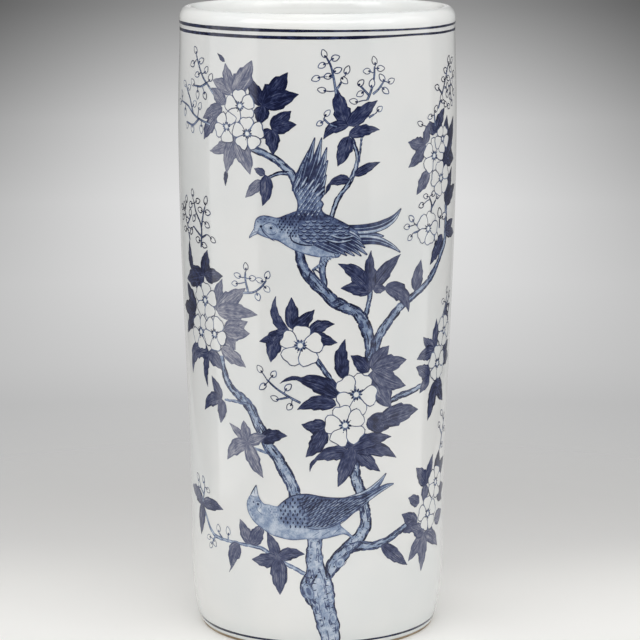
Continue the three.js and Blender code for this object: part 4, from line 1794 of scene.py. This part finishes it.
@dataclass(frozen=True)
class Banding:
    """The lines drawn on the wheel: two under the lip and one above the foot."""

    bands: tuple[Marks, ...] = (
        ((-230, 446.4, 1.9), (-105, 446.3, 2.4), (-70, 446.1, 2.8), (-40, 446.05, 2.45), (0, 446.05, 1.7),
         (45, 445.75, 1.45), (100, 445.4, 1.6), (200, 445.9, 2.3)),
        ((-210, 441.4, 1.8), (-105, 441.3, 2.3), (25, 441.25, 2.35), (46, 441.5, 1.7), (70, 441.7, 1.6),
         (100, 441.1, 1.6), (210, 441.2, 2.2)),
        ((-180, 5.8, 1.5), (-95, 5.7, 1.9), (-30, 5.8, 1.7), (60, 5.7, 1.6), (110, 5.8, 1.9),
         (230, 5.9, 1.6)),
    )
    shade: float = 0.97

    def sheet(self, form: BarrelForm, hand: random.Random) -> Sheet:
        """Draws the lines on a sheet of their own, a little uneven as a loaded brush leaves them.

        Args:
            form: The pot.
            hand: The painter's hand.

        Returns:
            The sheet.
        """
        sheet = Sheet("banding")
        around = np.linspace(-form.half_round, form.half_round, 361)
        angle = around / form.unroll
        for band in self.bands:
            at, *rows = np.array(band).T
            height, width = (np.interp(around, at, row, period=2 * form.half_round) for row in rows)
            phase = hand.uniform(0, 6)
            drift = 0.05 * np.sin(3 * angle + phase) + 0.04 * np.sin(7 * angle + 2 * phase)
            half = width / 2 * (1 + 0.05 * np.sin(11 * angle + phase) + 0.04 * np.sin(29 * angle))
            sheet.strip(np.column_stack([around, height + drift]), half, half, Lift.BAND, self.shade, 4)
        return sheet


@dataclass
class Decoration:
    """All the painting: the same picture on both sides, and the banding."""

    form: BarrelForm
    seed: int = 11

    def make(self, ground: Material) -> None:
        """Paints both sides and wraps every layer on to the pot.

        Args:
            ground: The finish of the white petals.
        """
        wash = Cobalt(touch=Touch.WASH, mottling=0.26, edge=0.12).material()
        leaf = Cobalt(touch=Touch.LEAF, mottling=0.2, edge=0.14).material()
        line = Cobalt(touch=Touch.LINE, mottling=0.3).material()
        plume = Cobalt(touch=Touch.PLUME, mottling=0.24).material()
        finishes = {
            "limbs": (wash, "cobalt_wash"), "bark": (line, "cobalt_dark"),
            "leaves": (leaf, "cobalt_dark"), "petals": (ground, "glazed_porcelain"),
            "lines": (line, "cobalt_dark"), "birds": (wash, "cobalt_wash"),
            "plumes": (plume, "cobalt_dark"),
        }
        sides = (("front", 0.0, self.seed), ("back", self.form.half_round, self.seed + 5))
        for side, turn, seed in sides:
            brushes = Brushes(side, seed)
            BlossomTree().paint(brushes)
            for layer, (finish, slot) in finishes.items():
                place_piece(getattr(brushes, layer).build(self.form, finish, turn), slot)
        bands = Banding().sheet(self.form, random.Random(self.seed))
        place_piece(bands.build(self.form, line), "cobalt_dark")


# ------------ the studio


@dataclass(frozen=True)
class SoftLight:
    """A rectangular lamp with a diffuser, or a card that is only seen mirrored in the glaze."""

    name: str
    place: tuple[float, float, float]
    aim: tuple[float, float, float]
    size: tuple[float, float]
    power: float
    card: bool = False

    def make(self) -> None:
        """Hangs the light in the studio, out of the camera's sight."""
        data = bpy.data.lights.new(self.name, "AREA")
        data.shape = "RECTANGLE"
        data.size, data.size_y = self.size
        data.energy = self.power
        lamp = bpy.data.objects.new(self.name, data)
        lamp.location = self.place
        way = Vector(self.aim) - Vector(self.place)
        lamp.rotation_euler = way.to_track_quat("-Z", "Y").to_euler()
        lamp.visible_camera = False
        lamp.visible_diffuse = not self.card
        bpy.context.scene.collection.objects.link(lamp)


@dataclass(frozen=True)
class Studio:
    """A pale floor, soft lights round the pot, and the camera in front of it."""

    distance: float = 1.978
    eye: float = 0.588
    dip: float = 0.181
    lens: float = 153.4
    shift: float = 0.004
    fill: float = 0.42  # the world's light on everything
    board: float = 0.2  # brightness of the grey boards
    room: float = 0.4  # the backdrop's brightness behind the camera, as a share
    floor_radius: float = 0.9
    lights: tuple[SoftLight, ...] = (
        SoftLight("front_softbox", (0, -1.8, 1.9), (0, 0, 0.2), (2.6, 0.9), 20),
        SoftLight("left_softbox", (-1.3, -1.0, 1.5), (0, 0, 0.2), (1.0, 1.0), 9.4),
        SoftLight("right_softbox", (1.3, -1.0, 1.5), (0, 0, 0.2), (1.0, 1.0), 7.0),
        SoftLight("side_softbox", (1.2, -0.3, 1.0), (0, 0, 0.15), (1.0, 1.0), 2.2),
        SoftLight("left_back_softbox", (-1.1, 0.7, 1.2), (0, 0, 0.2), (1.0, 1.0), 4.2),
        SoftLight("right_back_softbox", (1.1, 0.7, 1.2), (0, 0, 0.2), (1.0, 1.0), 3.0),
        SoftLight("left_card", (-0.45, -0.215, 0.475), (0, -0.215, 0.475), (0.43, 0.95), 1.6, True),
        SoftLight("right_card", (0.45, -0.235, 0.475), (0, -0.235, 0.475), (0.59, 0.95), 1.4, True),
    )

    # The paper's colour against its distance back from the front: painted light, a pool of light in front
    # that falls off behind the pot.
    PAPER_PAINTED_FALLOFF = ((0.0, (243, 242, 239)), (0.3, (235, 234, 231)), (0.65, (220, 219, 217)), (1.0, (210, 209, 207)))

    # The backdrop's brightness against the sine of the view's dip, from the pale ceiling down.
    BACKDROP = ((0.0, 210), (0.034, 92), (0.066, 141), (0.094, 189), (0.1075, 207), (0.137, 222),
                (0.166, 218), (0.195, 204), (0.209, 194), (0.25, 191))

    def camera(self) -> None:
        """Sets up the camera."""
        data = bpy.data.cameras.new("camera")
        data.lens, data.sensor_width, data.shift_x = self.lens, 36, self.shift
        camera = bpy.data.objects.new("camera", data)
        camera.location = (0, -self.distance, self.eye)
        camera.rotation_euler = (math.pi / 2 - self.dip, 0, 0)
        bpy.context.scene.collection.objects.link(camera)
        bpy.context.scene.camera = camera

    def world(self) -> None:
        """A plain soft fill, and for the camera a grey backdrop that glows behind the pot."""
        world = bpy.data.worlds.new("studio")
        bpy.context.scene.world = world
        nodes = Nodes(world)
        aside, ahead, up = nodes.add("SeparateXYZ", nodes.add("TexCoord").outputs["Generated"]).outputs
        dip = nodes.math("MULTIPLY", up, -1.0)
        span = self.BACKDROP[-1][0]
        tone = nodes.ramp(nodes.math("DIVIDE", dip, span),
                          [(place / span, (grey, grey, grey)) for place, grey in self.BACKDROP])
        glow = nodes.band(nodes.math("ABSOLUTE", aside), 0.02, 0.17, 1.15, 0.2)
        past_glow = nodes.math("SUBTRACT", 1.0, glow)
        spread = nodes.math("MULTIPLY_ADD", nodes.band(dip, 0.03, 0.27), past_glow, glow)
        level = nodes.math("MULTIPLY", spread, nodes.band(ahead, -0.3, 0.3, self.room, 1.0))
        path = nodes.add("LightPath").outputs
        seen = nodes.math("ADD", path["Is Camera Ray"], path["Is Glossy Ray"])
        seen = nodes.math("ADD", seen, path["Is Transmission Ray"], clamp=True)
        fill = nodes.add("Background", (1, 1, 1, 1), self.fill)
        backdrop = nodes.add("Background", tone, level)
        nodes.surface(nodes.add("MixShader", seen, fill.outputs[0], backdrop.outputs[0]))

    def floor(self) -> None:
        """A round of pale paper under the pot, with painted light that is brighter in front and darker
        further back, which fades into the backdrop.
        """
        nodes, rings, points = Nodes.material("paper"), 8, 96
        away = nodes.add("SeparateXYZ", nodes.place()).outputs[1]
        reach = nodes.math("MULTIPLY_ADD", nodes.noise(3, 2), 0.04, away)
        colour = nodes.ramp(nodes.band(reach, -0.05, 0.45), self.PAPER_PAINTED_FALLOFF)
        paper = nodes.add("BsdfPrincipled", Base_Color=colour, Roughness=0.9, Specular_IOR_Level=0.1)
        length = nodes.add("VectorMath", nodes.place(), operation="LENGTH").outputs["Value"]
        fade = nodes.band(length, 0.2, 0.85)
        clear = nodes.add("BsdfTransparent")
        finish = nodes.surface(nodes.add("MixShader", fade, paper.outputs[0], clear.outputs[0]))
        round_about = oval(2 * self.floor_radius, 2 * self.floor_radius, points)
        flat = np.vstack([(0, 0), *(round_about * ring / rings for ring in range(1, rings + 1))])
        places = np.column_stack([flat, np.zeros(len(flat))])
        new_piece("paper_floor", places, disc_faces(points, rings), finish, rounded=False)

    def flags(self) -> None:
        """Two grey boards behind the pot's sides, seen only where the glaze mirrors them."""
        nodes = Nodes.material("grey_board")
        finish = nodes.surface(nodes.add("Emission", Strength=self.board))
        for name, side in (("left_board", -1), ("right_board", 1)):
            ends = ((0.45 * side, 0.07), (0.6 * side, 1.3))
            places = np.array([(x, y, z) for x, y in ends for z in (0.0, 1.2)])
            board = new_piece(name, places, [(0, 1, 3, 2)], finish, rounded=False)
            for ray in ("camera", "diffuse", "transmission", "shadow"):
                setattr(board, "visible_" + ray, False)

    def make(self) -> None:
        """Sets up everything round the pot."""
        for light in self.lights:
            light.make()
        self.world()
        self.floor()
        self.flags()
        bpy.context.scene.view_settings.view_transform = "Standard"


def main() -> None:
    """Builds the stand, its decoration and the studio round it."""
    logging.basicConfig(level=logging.INFO, format="%(message)s")
    studio = Studio()
    studio.camera()
    form = BarrelForm()
    ground = WhiteGround().material()
    # The lining is whiter partly as painted light: it brightens the up-facing lip and the inside, which takes
    # less light.
    lining = WhiteGround(name="white_lining_with_painted_light", thin=(244, 244, 241), thick=(239, 241, 240)).material()
    Pot(form).make(ground, lining, Biscuit().material())
    Decoration(form).make(ground)
    studio.make()


if __name__ == "__main__":
    main()
